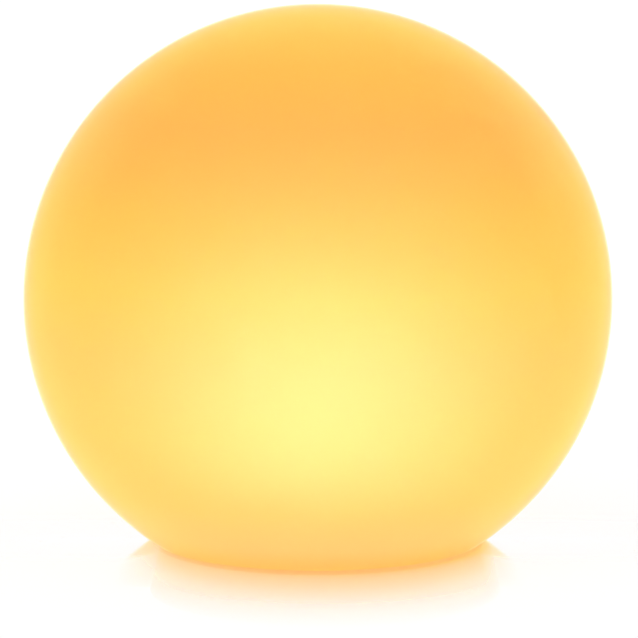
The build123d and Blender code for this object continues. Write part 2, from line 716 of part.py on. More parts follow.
with BuildPart() as lead_plugs:
    for socket_at in (LED_SOCKET_AT, CELL_SOCKET_AT):
        with Locations((*socket_at, BOARD_TOP + SOCKET_HEIGHT - 1.0)):
            Box(5.6, 3.4, 5.8)
PLUG_TOP = BOARD_TOP + SOCKET_HEIGHT + 1.9

battery_cells = []
for cell_side in (1, -1):
    with BuildPart() as battery_cell:
        with BuildSketch(Plane.XZ) as can_section:
            half = CELL_LENGTH / 2
            outline(
                (0, -half),
                (CELL_RADIUS, -half),
                (CELL_RADIUS, half - 4.6),
                (CELL_RADIUS - 0.5, half - 4.0),
                (CELL_RADIUS, half - 3.4),
                (CELL_RADIUS, half),
                (CELL_RADIUS - 2.2, half),
                (CELL_RADIUS - 2.6, half - 0.5),
                (3.0, half - 0.5),
                (2.7, half + CELL_NUB),
                (0, half + CELL_NUB),
            )
            fillet(can_section.vertices().sort_by_distance((CELL_RADIUS, -half))[0], 0.6)
        revolve(axis=Axis.Z)
    battery_cell.part.orientation = (0, 90, 0)
    battery_cell.part.position = (-CELL_NUB / 2, cell_side * CELL_Y, CELL_AXIS_Z)
    battery_cells.append(battery_cell)

with BuildPart() as battery_tray:
    cradle_bore = CELL_RADIUS + 0.1
    with BuildSketch(Plane.YZ.offset(-TRAY_LENGTH / 2)):
        with Locations((0, (TRAY_Z + DECK_Z) / 2)):
            Rectangle(2 * TRAY_HALF_WIDTH, DECK_Z - TRAY_Z)
        with Locations((CELL_Y, CELL_AXIS_Z), (-CELL_Y, CELL_AXIS_Z)):
            Circle(cradle_bore, mode=Mode.SUBTRACT)
    extrude(amount=TRAY_LENGTH)
    # Three windows through the cradle let the cells be seen and cooled.
    with BuildSketch(Plane.XY.offset(TRAY_Z)):
        with GridLocations(19.0, 20.0, 3, 2):
            RectangleRounded(11.0, 12.0, 1.5)
    extrude(amount=DECK_Z - TRAY_Z, mode=Mode.SUBTRACT)

with BuildPart() as battery_straps:
    strap_bore = CELL_RADIUS + 0.1
    for strap_x in (-CLAMP_X, CLAMP_X):
        with BuildSketch(Plane.YZ.offset(strap_x - STRAP_WIDTH / 2)):
            with Locations((CELL_Y, CELL_AXIS_Z), (-CELL_Y, CELL_AXIS_Z)):
                Circle(strap_bore + STRAP)
            with Locations((0, CELL_AXIS_Z + CELL_RADIUS)):
                Rectangle(60, 2 * (CELL_RADIUS + CELL_AXIS_Z - CLAMP_POST_Z), mode=Mode.SUBTRACT)
            with Locations((0, CLAMP_POST_Z - STRAP / 2)):
                Rectangle(2 * STRAP_EAR, STRAP)
            with Locations((CELL_Y, CELL_AXIS_Z), (-CELL_Y, CELL_AXIS_Z)):
                Circle(strap_bore, mode=Mode.SUBTRACT)
        extrude(amount=STRAP_WIDTH)
    with Locations(Plane.XY.offset(CLAMP_POST_Z)):
        with GridLocations(2 * CLAMP_X, 2 * CLAMP_Y, 2, 2):
            Hole(1.6, depth=STRAP)

with BuildPart() as strap_screws:
    for strap_x in (-CLAMP_X, CLAMP_X):
        for strap_y in (-CLAMP_Y, CLAMP_Y):
            seat = upright((strap_x, strap_y))
            with BuildSketch(seat):
                screw_outline(HEAD_RADIUS, CLAMP_POST_Z - STRAP, 1.6, SHANK_RADIUS, 9.0, True)
            revolve(axis=Axis(seat.origin, (0, 0, 1)))

with BuildPart() as battery_tabs:
    tab_near = CELL_LENGTH / 2 + CELL_NUB / 2
    for tab_x in (tab_near + TAB / 2, -tab_near - TAB / 2):
        with BuildSketch(Plane.YZ.offset(tab_x - TAB / 2)):
            with Locations((0, CELL_AXIS_Z)):
                SlotOverall(2 * CELL_Y + 8.0, 7.0)
                with Locations((CELL_Y, 0), (-CELL_Y, 0)):
                    SlotOverall(3.0, 0.8, rotation=90, mode=Mode.SUBTRACT)
        extrude(amount=TAB)

# --- Leads: fixed wires that the module holds along their whole route ----------------------

WIRE_RADIUS = 0.75
LEAD_SPACING = 1.1
COLUMN_PAD_Z = 44.0
TAB_FACE = tab_near + TAB
led_routes = [
    [
        (LED_SOCKET_AT[0] + side * LEAD_SPACING, LED_SOCKET_AT[1], PLUG_TOP),
        (LED_SOCKET_AT[0] + side * LEAD_SPACING, LED_SOCKET_AT[1], 27.0),
        (side * LEAD_SPACING, WIRE_Y, 30.0),
        (side * LEAD_SPACING, WIRE_Y, COLUMN_PAD_Z),
        (side * LEAD_SPACING, COLUMN_APOTHEM + STRIP, COLUMN_PAD_Z),
    ]
    for side in (-1, 1)
]
cell_routes = [
    [
        (TAB_FACE, -CELL_Y, CELL_AXIS_Z),
        (TAB_FACE + 4.0, -CELL_Y, CELL_AXIS_Z),
        (TAB_FACE + 4.0, -19.0, 26.0),
        (CELL_SOCKET_AT[0] + LEAD_SPACING, CELL_SOCKET_AT[1], 26.0),
        (CELL_SOCKET_AT[0] + LEAD_SPACING, CELL_SOCKET_AT[1], PLUG_TOP),
    ],
    [
        (-TAB_FACE, -CELL_Y, CELL_AXIS_Z),
        (-TAB_FACE - 4.0, -CELL_Y, CELL_AXIS_Z),
        (-TAB_FACE - 2.5, -20.0, 26.0),
        (-22.0, -36.0, 26.5),
        (14.0, -37.0, 26.5),
        (CELL_SOCKET_AT[0] - LEAD_SPACING, CELL_SOCKET_AT[1], 26.0),
        (CELL_SOCKET_AT[0] - LEAD_SPACING, CELL_SOCKET_AT[1], PLUG_TOP),
    ],
]
LEAD_ROUTES = {"led_leads": led_routes, "battery_leads": cell_routes}


def bend_radii(points):
    """Radii as large as the runs each side of every bend leave room for."""
    runs = [(Vector(b) - Vector(a)).length for a, b in zip(points, points[1:])]
    radii = []
    for k in range(1, len(points) - 1):
        before = Vector(points[k]) - Vector(points[k - 1])
        after = Vector(points[k + 1]) - Vector(points[k])
        turn = radians(before.get_angle(after))
        radii.append(0.45 * min(runs[k - 1], runs[k]) / tan(turn / 2))
    print("lead bend radii", [round(r, 1) for r in radii])
    return radii


leads = {}
for lead_name, lead_routes in LEAD_ROUTES.items():
    with BuildPart() as lead:
        for route in lead_routes:
            with BuildLine() as lead_line:
                FilletPolyline(*route, radius=bend_radii(route))
            start = Plane(origin=lead_line.line @ 0, z_dir=lead_line.line % 0)
            with BuildSketch(start):
                Circle(WIRE_RADIUS)
            sweep(path=lead_line.line)
            run_length = sum(run.length for run in lead_line.line.edges())
            print(lead_name, "section times length", round(3.1416 * WIRE_RADIUS**2 * run_length, 1))
    print(lead_name, "volume", round(lead.part.volume, 1))
    leads[lead_name] = lead

with BuildPart() as wire_grommet:
    with BuildSketch(Plane.XZ.offset(-WIRE_Y)):
        outline(
            (0, DECK_Z - 0.9),
            (GROMMET_RADIUS, DECK_Z - 0.9),
            (GROMMET_RADIUS, DECK_Z),
            (WIRE_HOLE, DECK_Z),
            (WIRE_HOLE, DECK_TOP),
            (GROMMET_RADIUS, DECK_TOP),
            (GROMMET_RADIUS - 0.5, SPREADER_Z),
            (0, SPREADER_Z),
        )
    revolve(axis=Axis((0, WIRE_Y, 0), (0, 0, 1)))
    with Locations((-LEAD_SPACING, WIRE_Y, SPREADER_Z), (LEAD_SPACING, WIRE_Y, SPREADER_Z)):
        Hole(WIRE_RADIUS + 0.05)

# --- Light engine ---------------------------------------------------------------------------

with BuildPart() as engine_gasket:
    with BuildSketch(Plane.XY.offset(DECK_TOP)):
        Circle(31.0)
        Circle(28.4, mode=Mode.SUBTRACT)
    extrude(amount=SPREADER_Z - DECK_TOP)

with BuildPart() as heat_spreader:
    with BuildSketch(Plane.XY.offset(SPREADER_Z)):
        Circle(SPREADER_RADIUS)
        with PolarLocations(ENGINE_CIRCLE, ENGINE_COUNT, start_angle=45):
            Circle(1.6, mode=Mode.SUBTRACT)
        with Locations((0, WIRE_Y)):
            Circle(GROMMET_RADIUS + 0.4, mode=Mode.SUBTRACT)
    extrude(amount=SPREADER_TOP - SPREADER_Z)
    # Spigot that centres the column between the tips of its fins.
    with BuildSketch(Plane.XY.offset(SPREADER_TOP)):
        spigot = COLUMN_APOTHEM - COLUMN_WALL - FIN_LENGTH - 0.2
        RegularPolygon(spigot, COLUMN_SIDES, False, rotation=180 / COLUMN_SIDES)
    extrude(amount=2.5)

with BuildPart() as led_column:
    with BuildSketch(Plane.XY.offset(SPREADER_TOP)) as extrusion:
        core = COLUMN_APOTHEM - COLUMN_WALL
        RegularPolygon(COLUMN_APOTHEM, COLUMN_SIDES, False, rotation=180 / COLUMN_SIDES)
        RegularPolygon(core, COLUMN_SIDES, False, rotation=180 / COLUMN_SIDES, mode=Mode.SUBTRACT)
        with PolarLocations(core - FIN_LENGTH / 2 + 0.5, COLUMN_SIDES):
            Rectangle(FIN_LENGTH + 1.0, FIN_THICK)
        # Two channels for the top board's screws.
        with PolarLocations(CHANNEL_CIRCLE, 2, start_angle=180 / COLUMN_SIDES):
            Circle(2.4)
        with PolarLocations(CHANNEL_CIRCLE, 2, start_angle=180 / COLUMN_SIDES):
            Circle(1.1, mode=Mode.SUBTRACT)
    extrude(amount=COLUMN_TOP - SPREADER_TOP)

with BuildPart() as led_strip_boards:
    with PolarLocations(COLUMN_APOTHEM + STRIP / 2, COLUMN_SIDES):
        with Locations((0, 0, STRIP_MID_Z)):
            Box(STRIP, STRIP_WIDTH, STRIP_HEIGHT)

with BuildPart() as side_leds:
    with PolarLocations(COLUMN_APOTHEM + STRIP + LED_HEIGHT / 2, COLUMN_SIDES):
        with Locations(*[(0, 0, STRIP_MID_Z + step * LED_PITCH) for step in (-1, 0, 1)]):
            Box(LED_HEIGHT, LED_WIDTH, LED_LENGTH)

with BuildPart() as led_top_board:
    with BuildSketch(Plane.XY.offset(COLUMN_TOP)):
        RegularPolygon(COLUMN_APOTHEM + STRIP, COLUMN_SIDES, False, rotation=180 / COLUMN_SIDES)
        with PolarLocations(CHANNEL_CIRCLE, 2, start_angle=180 / COLUMN_SIDES):
            Circle(1.3, mode=Mode.SUBTRACT)
    extrude(amount=TOP_BOARD_TOP - COLUMN_TOP)

with BuildPart() as top_leds:
    with Locations((0, 0, TOP_BOARD_TOP + LED_HEIGHT / 2)):
        Box(LED_LENGTH, LED_WIDTH, LED_HEIGHT)
    with PolarLocations(6.4, 4, start_angle=180 / COLUMN_SIDES + 45):
        with Locations((0, 0, TOP_BOARD_TOP + LED_HEIGHT / 2)):
            Box(LED_LENGTH, LED_WIDTH, LED_HEIGHT)

with BuildPart() as top_board_screws:
    for opposite in (0, 180):
        seat = upright(polar(CHANNEL_CIRCLE, 180 / COLUMN_SIDES + opposite))
        with BuildSketch(seat):
            screw_outline(1.9, TOP_BOARD_TOP, 1.2, 1.05, 6.0, False)
        revolve(axis=Axis(seat.origin, (0, 0, 1)))

with BuildPart() as lamp_diffuser:
    with BuildSketch(Plane.XZ) as dome_section:
        dome_bore = DOME_RADIUS - DOME_WALL
        flange_top = SPREADER_TOP + DOME_FLANGE
        with BuildLine():
            CenterArc((0, DOME_SHOULDER_Z), DOME_RADIUS, 0, 90)
            Polyline(
                (DOME_RADIUS, DOME_SHOULDER_Z),
                (DOME_RADIUS, flange_top),
                (SPREADER_RADIUS, flange_top),
                (SPREADER_RADIUS, SPREADER_TOP),
                (dome_bore, SPREADER_TOP),
                (dome_bore, DOME_SHOULDER_Z),
            )
            CenterArc((0, DOME_SHOULDER_Z), dome_bore, 0, 90)
            Line((0, DOME_SHOULDER_Z + dome_bore), (0, DOME_SHOULDER_Z + DOME_RADIUS))
        make_face()
        fillet(dome_section.vertices().sort_by_distance((DOME_RADIUS, flange_top))[0], 0.8)
    revolve(axis=Axis.Z)
    with PolarLocations(ENGINE_CIRCLE, ENGINE_COUNT, start_angle=45):
        with Locations((0, 0, flange_top)):
            Hole(1.6, depth=DOME_FLANGE)

with BuildPart() as engine_screws:
    for screw in range(ENGINE_COUNT):
        seat = upright(polar(ENGINE_CIRCLE, 45 + screw * 90))
        with BuildSketch(seat):
            screw_outline(HEAD_RADIUS, flange_top, 1.7, SHANK_RADIUS, 13.0, False)
        revolve(axis=Axis(seat.origin, (0, 0, 1)))

with BuildPart() as reflector:
    with BuildSketch(Plane.XZ):
        shoulder_z = flange_top + 3.4
        outline(
            (REFLECTOR_BORE, shoulder_z),
            (REFLECTOR_BORE + 7.2, shoulder_z),
            (REFLECTOR_RADIUS - REFLECTOR_WALL, DECK_TOP + 2.6),
            (REFLECTOR_RADIUS - REFLECTOR_WALL, DECK_TOP),
            (REFLECTOR_RADIUS - REFLECTOR_WALL + 0.7, DECK_TOP),
            (REFLECTOR_RADIUS, DECK_TOP + 2.0),
            (REFLECTOR_RADIUS, DECK_TOP + 3.4),
            (REFLECTOR_BORE + 7.7, shoulder_z + REFLECTOR_WALL),
            (REFLECTOR_BORE, shoulder_z + REFLECTOR_WALL),
        )
    revolve(axis=Axis.Z)

# --- One file for each piece ------------------------------------------------------------------

pieces = {
    "globe_shell": globe_shell,
    "collar_bond": collar_bond,
    "globe_collar": globe_collar,
    "collar_gasket": collar_gasket,
    "lock_ring": lock_ring,
    "base_tub": base_tub,
    "base_cover": base_cover,
    "cover_seal": cover_seal,
    "foot_ring": foot_ring,
    "cover_screws": cover_screws,
    "power_button": power_button,
    "button_boot": button_boot,
    "switch_plunger": switch_plunger,
    "tact_switch": tact_switch,
    "charge_socket": charge_socket,
    "inlet_cap": inlet_cap,
    "cap_pin": cap_pin,
    "cap_seal": cap_seal,
    "status_light_pipe": status_light_pipe,
    "status_led": status_led,
    "breather_vent": breather_vent,
    "control_board": control_board,
    "board_screws": board_screws,
    "board_chips": board_chips,
    "board_inductor": board_inductor,
    "board_capacitors": board_capacitors,
    "board_sockets": board_sockets,
    "lead_plugs": lead_plugs,
    "battery_cell_1": battery_cells[0],
    "battery_cell_2": battery_cells[1],
    "battery_tray": battery_tray,
    "battery_straps": battery_straps,
    "strap_screws": strap_screws,
    "battery_tabs": battery_tabs,
    "led_leads": leads["led_leads"],
    "battery_leads": leads["battery_leads"],
    "wire_grommet": wire_grommet,
    "engine_gasket": engine_gasket,
    "heat_spreader": heat_spreader,
    "led_column": led_column,
    "led_strip_boards": led_strip_boards,
    "side_leds": side_leds,
    "led_top_board": led_top_board,
    "top_leds": top_leds,
    "top_board_screws": top_board_screws,
    "lamp_diffuser": lamp_diffuser,
    "engine_screws": engine_screws,
    "reflector": reflector,
}

os.makedirs("parts", exist_ok=True)
for name, piece in pieces.items():
    piece.part.label = name
    export_step(piece.part, f"parts/{name}.step")
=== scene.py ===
"""Looks of the garden globe light: a lit satin opal globe over its sealed light module."""

import json
import logging
import math
from dataclasses import dataclass
from enum import Enum
from typing import Optional, Sequence

import bmesh
import bpy
from bpy.types import Material, Mesh, Node, NodeSocket, NodeTree, Object
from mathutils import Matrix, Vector


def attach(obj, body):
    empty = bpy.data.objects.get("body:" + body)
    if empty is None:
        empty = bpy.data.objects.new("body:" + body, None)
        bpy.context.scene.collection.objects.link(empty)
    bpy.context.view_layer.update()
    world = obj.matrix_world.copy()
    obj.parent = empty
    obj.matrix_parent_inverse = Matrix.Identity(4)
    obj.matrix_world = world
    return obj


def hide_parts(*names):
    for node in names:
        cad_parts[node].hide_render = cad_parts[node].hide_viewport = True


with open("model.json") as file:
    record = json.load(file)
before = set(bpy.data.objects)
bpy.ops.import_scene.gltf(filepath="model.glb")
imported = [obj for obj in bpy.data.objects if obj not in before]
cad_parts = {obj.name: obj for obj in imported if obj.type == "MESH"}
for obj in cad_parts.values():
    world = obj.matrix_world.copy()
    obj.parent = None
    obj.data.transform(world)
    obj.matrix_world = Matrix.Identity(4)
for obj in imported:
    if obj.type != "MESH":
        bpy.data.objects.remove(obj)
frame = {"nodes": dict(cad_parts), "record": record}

log = logging.getLogger("globe_light")
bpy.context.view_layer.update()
MM = 0.001
OPAL_IOR = 1.6  # of the rough glass walls
ACRYLIC_IOR = 1.49
SUNK = 0.2  # depth of a raised mark's foot in what carries it, in millimetres
TIP_STEPS = 8  # runs round a bar's end
BEND_STEPS = 6  # runs in a rounded corner
DRIVE_LOBES = 6
TURNED_CREASE = 35.0  # gentlest edge kept crisp on a turned piece, in degrees
CREASE = 30.0  # the same for any other piece
Colour = tuple[float, float, float]
Point = tuple[float, float, float]
Spot = tuple[float, float]
Outline = list[Spot]
Form = tuple[Spot, ...]


# --- Node helpers ---


class Nodes:
    """A small writer for node trees of one material, world or modifier."""

    def __init__(self, tree: NodeTree) -> None:
        """Keeps the tree that the nodes go into.

        Args:
            tree: the tree to write.
        """
        self.tree = tree

    def add(self, kind: str, settings: Optional[dict] = None, **inputs: object) -> Node:
        """Adds a node, sets its properties and fills or links its inputs.

        Args:
            kind: the node's type name.
            settings: properties of the node, by name.
            **inputs: values or sockets, by input name with _ for a space, or i0, i1 by index.

        Returns:
            The new node.
        """
        node = self.tree.nodes.new(kind)
        for key, value in (settings or {}).items():
            setattr(node, key, value)
        for key, value in inputs.items():
            number = key[1:] if key[0] == "i" and key[1:].isdigit() else None
            socket = node.inputs[int(number)] if number else node.inputs[key.replace("_", " ")]
            self.feed(socket, value)
        return node

    def feed(self, socket: NodeSocket, value: object) -> None:
        """Links a socket, or writes a plain value into it.

        Args:
            socket: the input to fill.
            value: a socket to link from, or a value.
        """
        if isinstance(value, NodeSocket):
            self.tree.links.new(value, socket)
        else:
            socket.default_value = value

    def reckon(self, kind: str, operation: str, values: Sequence[object]) -> Node:
        """Adds a node that does a sum.

        Args:
            kind: the node's type name.
            operation: the sum it does.
            values: its inputs, in order.

        Returns:
            The node.
        """
        node = self.add(kind, {"operation": operation})
        for socket, value in zip(node.inputs, values):
            self.feed(socket, value)
        return node

    def math(self, operation: str, *values: object) -> NodeSocket:
        """Adds a Math node, whose inputs are the values in order, and returns its result."""
        return self.reckon("ShaderNodeMath", operation, values).outputs[0]

    def vector(self, operation: str, *values: object) -> Node:
        """Adds a Vector Math node, whose outputs are the vector and the value."""
        return self.reckon("ShaderNodeVectorMath", operation, values)

    def from_axis(self, where: object) -> NodeSocket:
        """Distance of a place from the part's axis."""
        flat = self.vector("MULTIPLY", where, (1.0, 1.0, 0.0)).outputs[0]
        return self.vector("LENGTH", flat).outputs["Value"]

    def mix(self, share: object, first: Node, second: Node) -> Node:
        """Mixes two shaders.

        Args:
            share: how much of the second there is, a value or a socket.
            first: the shader at share 0.
            second: the shader at share 1.

        Returns:
            The mix node.
        """
        node = self.add("ShaderNodeMixShader", i0=share)
        self.tree.links.new(first.outputs[0], node.inputs[1])
        self.tree.links.new(second.outputs[0], node.inputs[2])
        return node

    def blend(self, share: object, first: object, second: object) -> NodeSocket:
        """Blends two colours.

        Args:
            share: how much of the second there is.
            first: the colour at share 0, a socket or red, green and blue.
            second: the colour at share 1.

        Returns:
            The blended colour.
        """
        node = self.tree.nodes.new("ShaderNodeMix")
        node.data_type = "RGBA"
        for number, value in ((0, share), (6, first), (7, second)):
            if isinstance(value, tuple) and len(value) == 3:
                value = (*value, 1.0)
            self.feed(node.inputs[number], value)
        return node.outputs[2]

    def noise(self, where: object, size: float, detail: float = 2.0) -> NodeSocket:
        """Adds a noise whose blots are about this wide, in metres, and returns its level."""
        node = self.add("ShaderNodeTexNoise", Vector=where, Scale=1.0 / size, Detail=detail)
        return node.outputs["Fac"]

    def spread(self, level: object, low: float, high: float) -> NodeSocket:
        """Turns a noise's level into a value between two limits."""
        return self.span(level, (0.3, 0.7), (low, high))

    def span(self, value: object, given: Spot, wanted: Spot = (0.0, 1.0)) -> NodeSocket:
        """Maps one range of a value to another, and holds it at both ends.

        Args:
            value: the socket to map.
            given: the value's two limits.
            wanted: what they become.

        Returns:
            The mapped value.
        """
        node = self.add(
            "ShaderNodeMapRange",
            Value=value,
            From_Min=given[0],
            From_Max=given[1],
            To_Min=wanted[0],
            To_Max=wanted[1],
        )
        return node.outputs["Result"]

    def blurred_glass(self, tint: Colour, roughness: float) -> Node:
        """Adds a shader for light that passes through rough glass.

        Args:
            tint: of the light that passes.
            roughness: how much it is blurred.

        Returns:
            The shader.
        """
        node = self.add("ShaderNodeBsdfPrincipled", Base_Color=(*tint, 1.0), Roughness=roughness)
        node.inputs["IOR"].default_value = OPAL_IOR
        node.inputs["Transmission Weight"].default_value = 1.0
        return node

    def bumped(self, shader: Node, height: object, depth: float) -> None:
        """Gives a shader fine relief: the height's pattern, raised by a depth in metres."""
        bump = self.add("ShaderNodeBump", Height=height, Distance=depth)
        self.feed(shader.inputs["Normal"], bump.outputs["Normal"])

    def surface(self, shader: Node) -> None:
        """Makes a shader the material's surface."""
        out = next(n for n in self.tree.nodes if n.type == "OUTPUT_MATERIAL")
        self.tree.links.new(shader.outputs[0], out.inputs["Surface"])

    def ramp(
        self, factor: object, stops: Sequence[tuple[float, Colour]], smooth: bool = True
    ) -> NodeSocket:
        """Adds a colour ramp and returns its colour.

        Args:
            factor: the socket or value that picks the colour.
            stops: places from 0 to 1 with their colours.
            smooth: eases between stops if true.

        Returns:
            The ramp's colour output.
        """
        node = self.tree.nodes.new("ShaderNodeValToRGB")
        self.feed(node.inputs[0], factor)
        node.color_ramp.interpolation = "EASE" if smooth else "LINEAR"
        elements = node.color_ramp.elements
        while len(elements) < len(stops):
            elements.new(0.5)
        for element, (place, colour) in zip(elements, stops):
            element.position = place
            element.color = (*colour, 1.0)
        return node.outputs["Color"]


def height_share(nodes: Nodes, low: float, high: float) -> NodeSocket:
    """How far up the part the point being shaded lies.

    Args:
        nodes: writer for the material's tree.
        low: height at which the share is 0, in metres.
        high: height at which it is 1.

    Returns:
        The share.
    """
    where = nodes.add("ShaderNodeTexCoord").outputs["Object"]
    height = nodes.add("ShaderNodeSeparateXYZ", i0=where).outputs["Z"]
    return nodes.span(height, (low, high))


# --- Finishes ---


@dataclass(frozen=True)
class Finish:
    """A moulded finish: its tone and gloss drift a little, over a fine grain.

    Attributes:
        name: the finish in a maker's words.
        colour: base colour.
        roughness: of the surface.
        metallic: 1 on bare metal.
        specular: specular level.
        coat: weight of a clear coat.
        mottle: share by which the tone drifts.
        mottle_size: width of the drifting blots, in metres.
        rough_spread: how far the roughness drifts each way.
        grain: height of the surface's texture, in metres.
        grain_size: width of that texture, in metres.
        glow: light given off, for lit pieces.
        glow_strength: its strength.
    """

    name: str
    colour: Colour
    roughness: float = 0.5
    metallic: float = 0.0
    specular: float = 0.5
    coat: float = 0.0
    mottle: float = 0.04
    mottle_size: float = 0.009
    rough_spread: float = 0.05
    grain: float = 0.000008
    grain_size: float = 0.0004
    glow: Colour = (0.0, 0.0, 0.0)
    glow_strength: float = 0.0

    def material(self) -> Material:
        """Makes the Blender material, once for each name.

        Returns:
            The material.
        """
        found = bpy.data.materials.get(self.name)
        if found:
            return found
        made = bpy.data.materials.new(self.name)
        made.use_nodes = True
        shader = made.node_tree.nodes["Principled BSDF"]
        shader.inputs["Base Color"].default_value = (*self.colour, 1.0)
        shader.inputs["Roughness"].default_value = self.roughness
        shader.inputs["Metallic"].default_value = self.metallic
        shader.inputs["Specular IOR Level"].default_value = self.specular
        shader.inputs["Coat Weight"].default_value = self.coat
        shader.inputs["Emission Color"].default_value = (*self.glow, 1.0)
        shader.inputs["Emission Strength"].default_value = self.glow_strength
        made.diffuse_color = (*self.colour, 1.0)
        self.pattern(Nodes(made.node_tree), shader)
        return made

    def tone(self, share: float) -> Colour:
        """The base colour, lighter or darker by a share, within white."""
        return tuple(min(level * (1.0 + share), 1.0) for level in self.colour)

    def place(self, nodes: Nodes) -> NodeSocket:
        """Where the pattern is read: the point's place on the part."""
        return nodes.add("ShaderNodeTexCoord").outputs["Object"]

    def pattern(self, nodes: Nodes, shader: Node) -> None:
        """Adds the drift of tone and gloss, and the grain.

        Args:
            nodes: writer for the material's tree.
            shader: its Principled node.
        """
        where = self.place(nodes)
        drift = nodes.noise(where, self.mottle_size, 3.0)
        tone = nodes.ramp(drift, ((0.3, self.tone(-self.mottle)), (0.7, self.tone(self.mottle))))
        nodes.feed(shader.inputs["Base Color"], tone)
        self.drift_gloss(nodes, shader, nodes.noise(where, self.mottle_size * 0.6))
        if self.grain:
            nodes.bumped(shader, nodes.noise(where, self.grain_size), self.grain)

    def drift_gloss(self, nodes: Nodes, shader: Node, level: object) -> None:
        """Lets the roughness drift each way of its own value, by a noise's level."""
        low, high = self.roughness - self.rough_spread, self.roughness + self.rough_spread
        nodes.feed(shader.inputs["Roughness"], nodes.spread(level, low, high))


class Lay(Enum):
    """Which way the fine marks of a drawn or machined surface run."""

    UP = "along the part's axis"
    RINGS = "in rings about the part's axis"
    ALONG_X = "along X"


@dataclass(frozen=True)
class WorkedMetal(Finish):
    """Metal with the fine marks of drawing, turning or brushing.

    Attributes:
        lay: which way the marks run.
    """

    lay: Lay = Lay.UP
    metallic: float = 1.0
    mottle: float = 0.08
    mottle_size: float = 0.0012
    rough_spread: float = 0.09
    grain: float = 0.000004
    grain_size: float = 0.00025

    def place(self, nodes: Nodes) -> NodeSocket:
        """Draws the pattern out along the marks.

        Args:
            nodes: writer for the material's tree.

        Returns:
            Where the pattern is read.
        """
        where = super().place(nodes)
        if self.lay is Lay.RINGS:
            reach = nodes.from_axis(where)
            split = nodes.add("ShaderNodeSeparateXYZ", i0=where)
            return nodes.add("ShaderNodeCombineXYZ", X=reach, Z=split.outputs["Z"]).outputs[0]
        along = (1.0, 1.0, 0.02) if self.lay is Lay.UP else (0.02, 1.0, 1.0)
        return nodes.vector("MULTIPLY", where, along).outputs[0]


@dataclass(frozen=True)
class CircuitBoard(Finish):
    """Solder mask over copper: poured areas, tracks between them and tinned vias.

    Attributes:
        track: tone of the mask where it lies on a track.
        bare: tone of the mask over bare board.
        via: metal of the vias.
        pour_size: width of the poured areas, in metres.
        pour_drift: share by which one area is lighter than the next.
        pour_gap: bare board between the areas, as a share of their width.
        net_rings: tracks round one another in a net.
        track_width: share of the spacing that a track takes.
        track_rise: how far a track stands up, as a share of the copper's height.
        via_spacing: distance between vias, in metres.
        via_radius: of a via, as a share of that distance.
        copper: height of the copper under the mask, in metres.
        gloss_size: width of the drift in the mask's gloss, in metres.
    """

    track: Colour = (0.05, 0.30, 0.10)
    bare: Colour = (0.012, 0.10, 0.035)
    via: Colour = (0.72, 0.70, 0.64)
    pour_size: float = 0.0042
    pour_drift: float = 0.25
    pour_gap: float = 0.03
    net_rings: float = 8.0
    track_width: float = 0.12
    track_rise: float = 0.6
    via_spacing: float = 0.0036
    via_radius: float = 0.10
    copper: float = 0.00003
    gloss_size: float = 0.003

    def pattern(self, nodes: Nodes, shader: Node) -> None:
        """Draws the copper under the mask.

        Args:
            nodes: writer for the material's tree.
            shader: its Principled node.
        """
        where = self.place(nodes)
        pours = nodes.add("ShaderNodeTexBrick", Vector=where, Scale=0.5 / self.pour_size)
        pours.inputs["Color1"].default_value = (*self.colour, 1.0)
        pours.inputs["Color2"].default_value = (*self.tone(self.pour_drift), 1.0)
        pours.inputs["Mortar"].default_value = (*self.bare, 1.0)
        pours.inputs["Mortar Size"].default_value = self.pour_gap
        nets = nodes.add("ShaderNodeTexVoronoi", {"distance": "CHEBYCHEV"}, Vector=where)
        nets.inputs["Scale"].default_value = 0.36 / self.pour_size
        rings = nodes.math("MULTIPLY", nets.outputs["Distance"], self.net_rings)
        on_track = nodes.math("LESS_THAN", nodes.math("PINGPONG", rings, 0.5), self.track_width)
        masked = nodes.blend(on_track, pours.outputs["Color"], self.track)
        holes = nodes.add("ShaderNodeTexVoronoi", Vector=where, Scale=1.0 / self.via_spacing)
        tinned = nodes.math("LESS_THAN", holes.outputs["Distance"], self.via_radius)
        nodes.feed(shader.inputs["Base Color"], nodes.blend(tinned, masked, self.via))
        nodes.feed(shader.inputs["Metallic"], tinned)
        raised = nodes.math("ADD", nodes.math("MULTIPLY", on_track, self.track_rise), tinned)
        nodes.bumped(shader, raised, self.copper)
        self.drift_gloss(nodes, shader, nodes.noise(where, self.gloss_size))


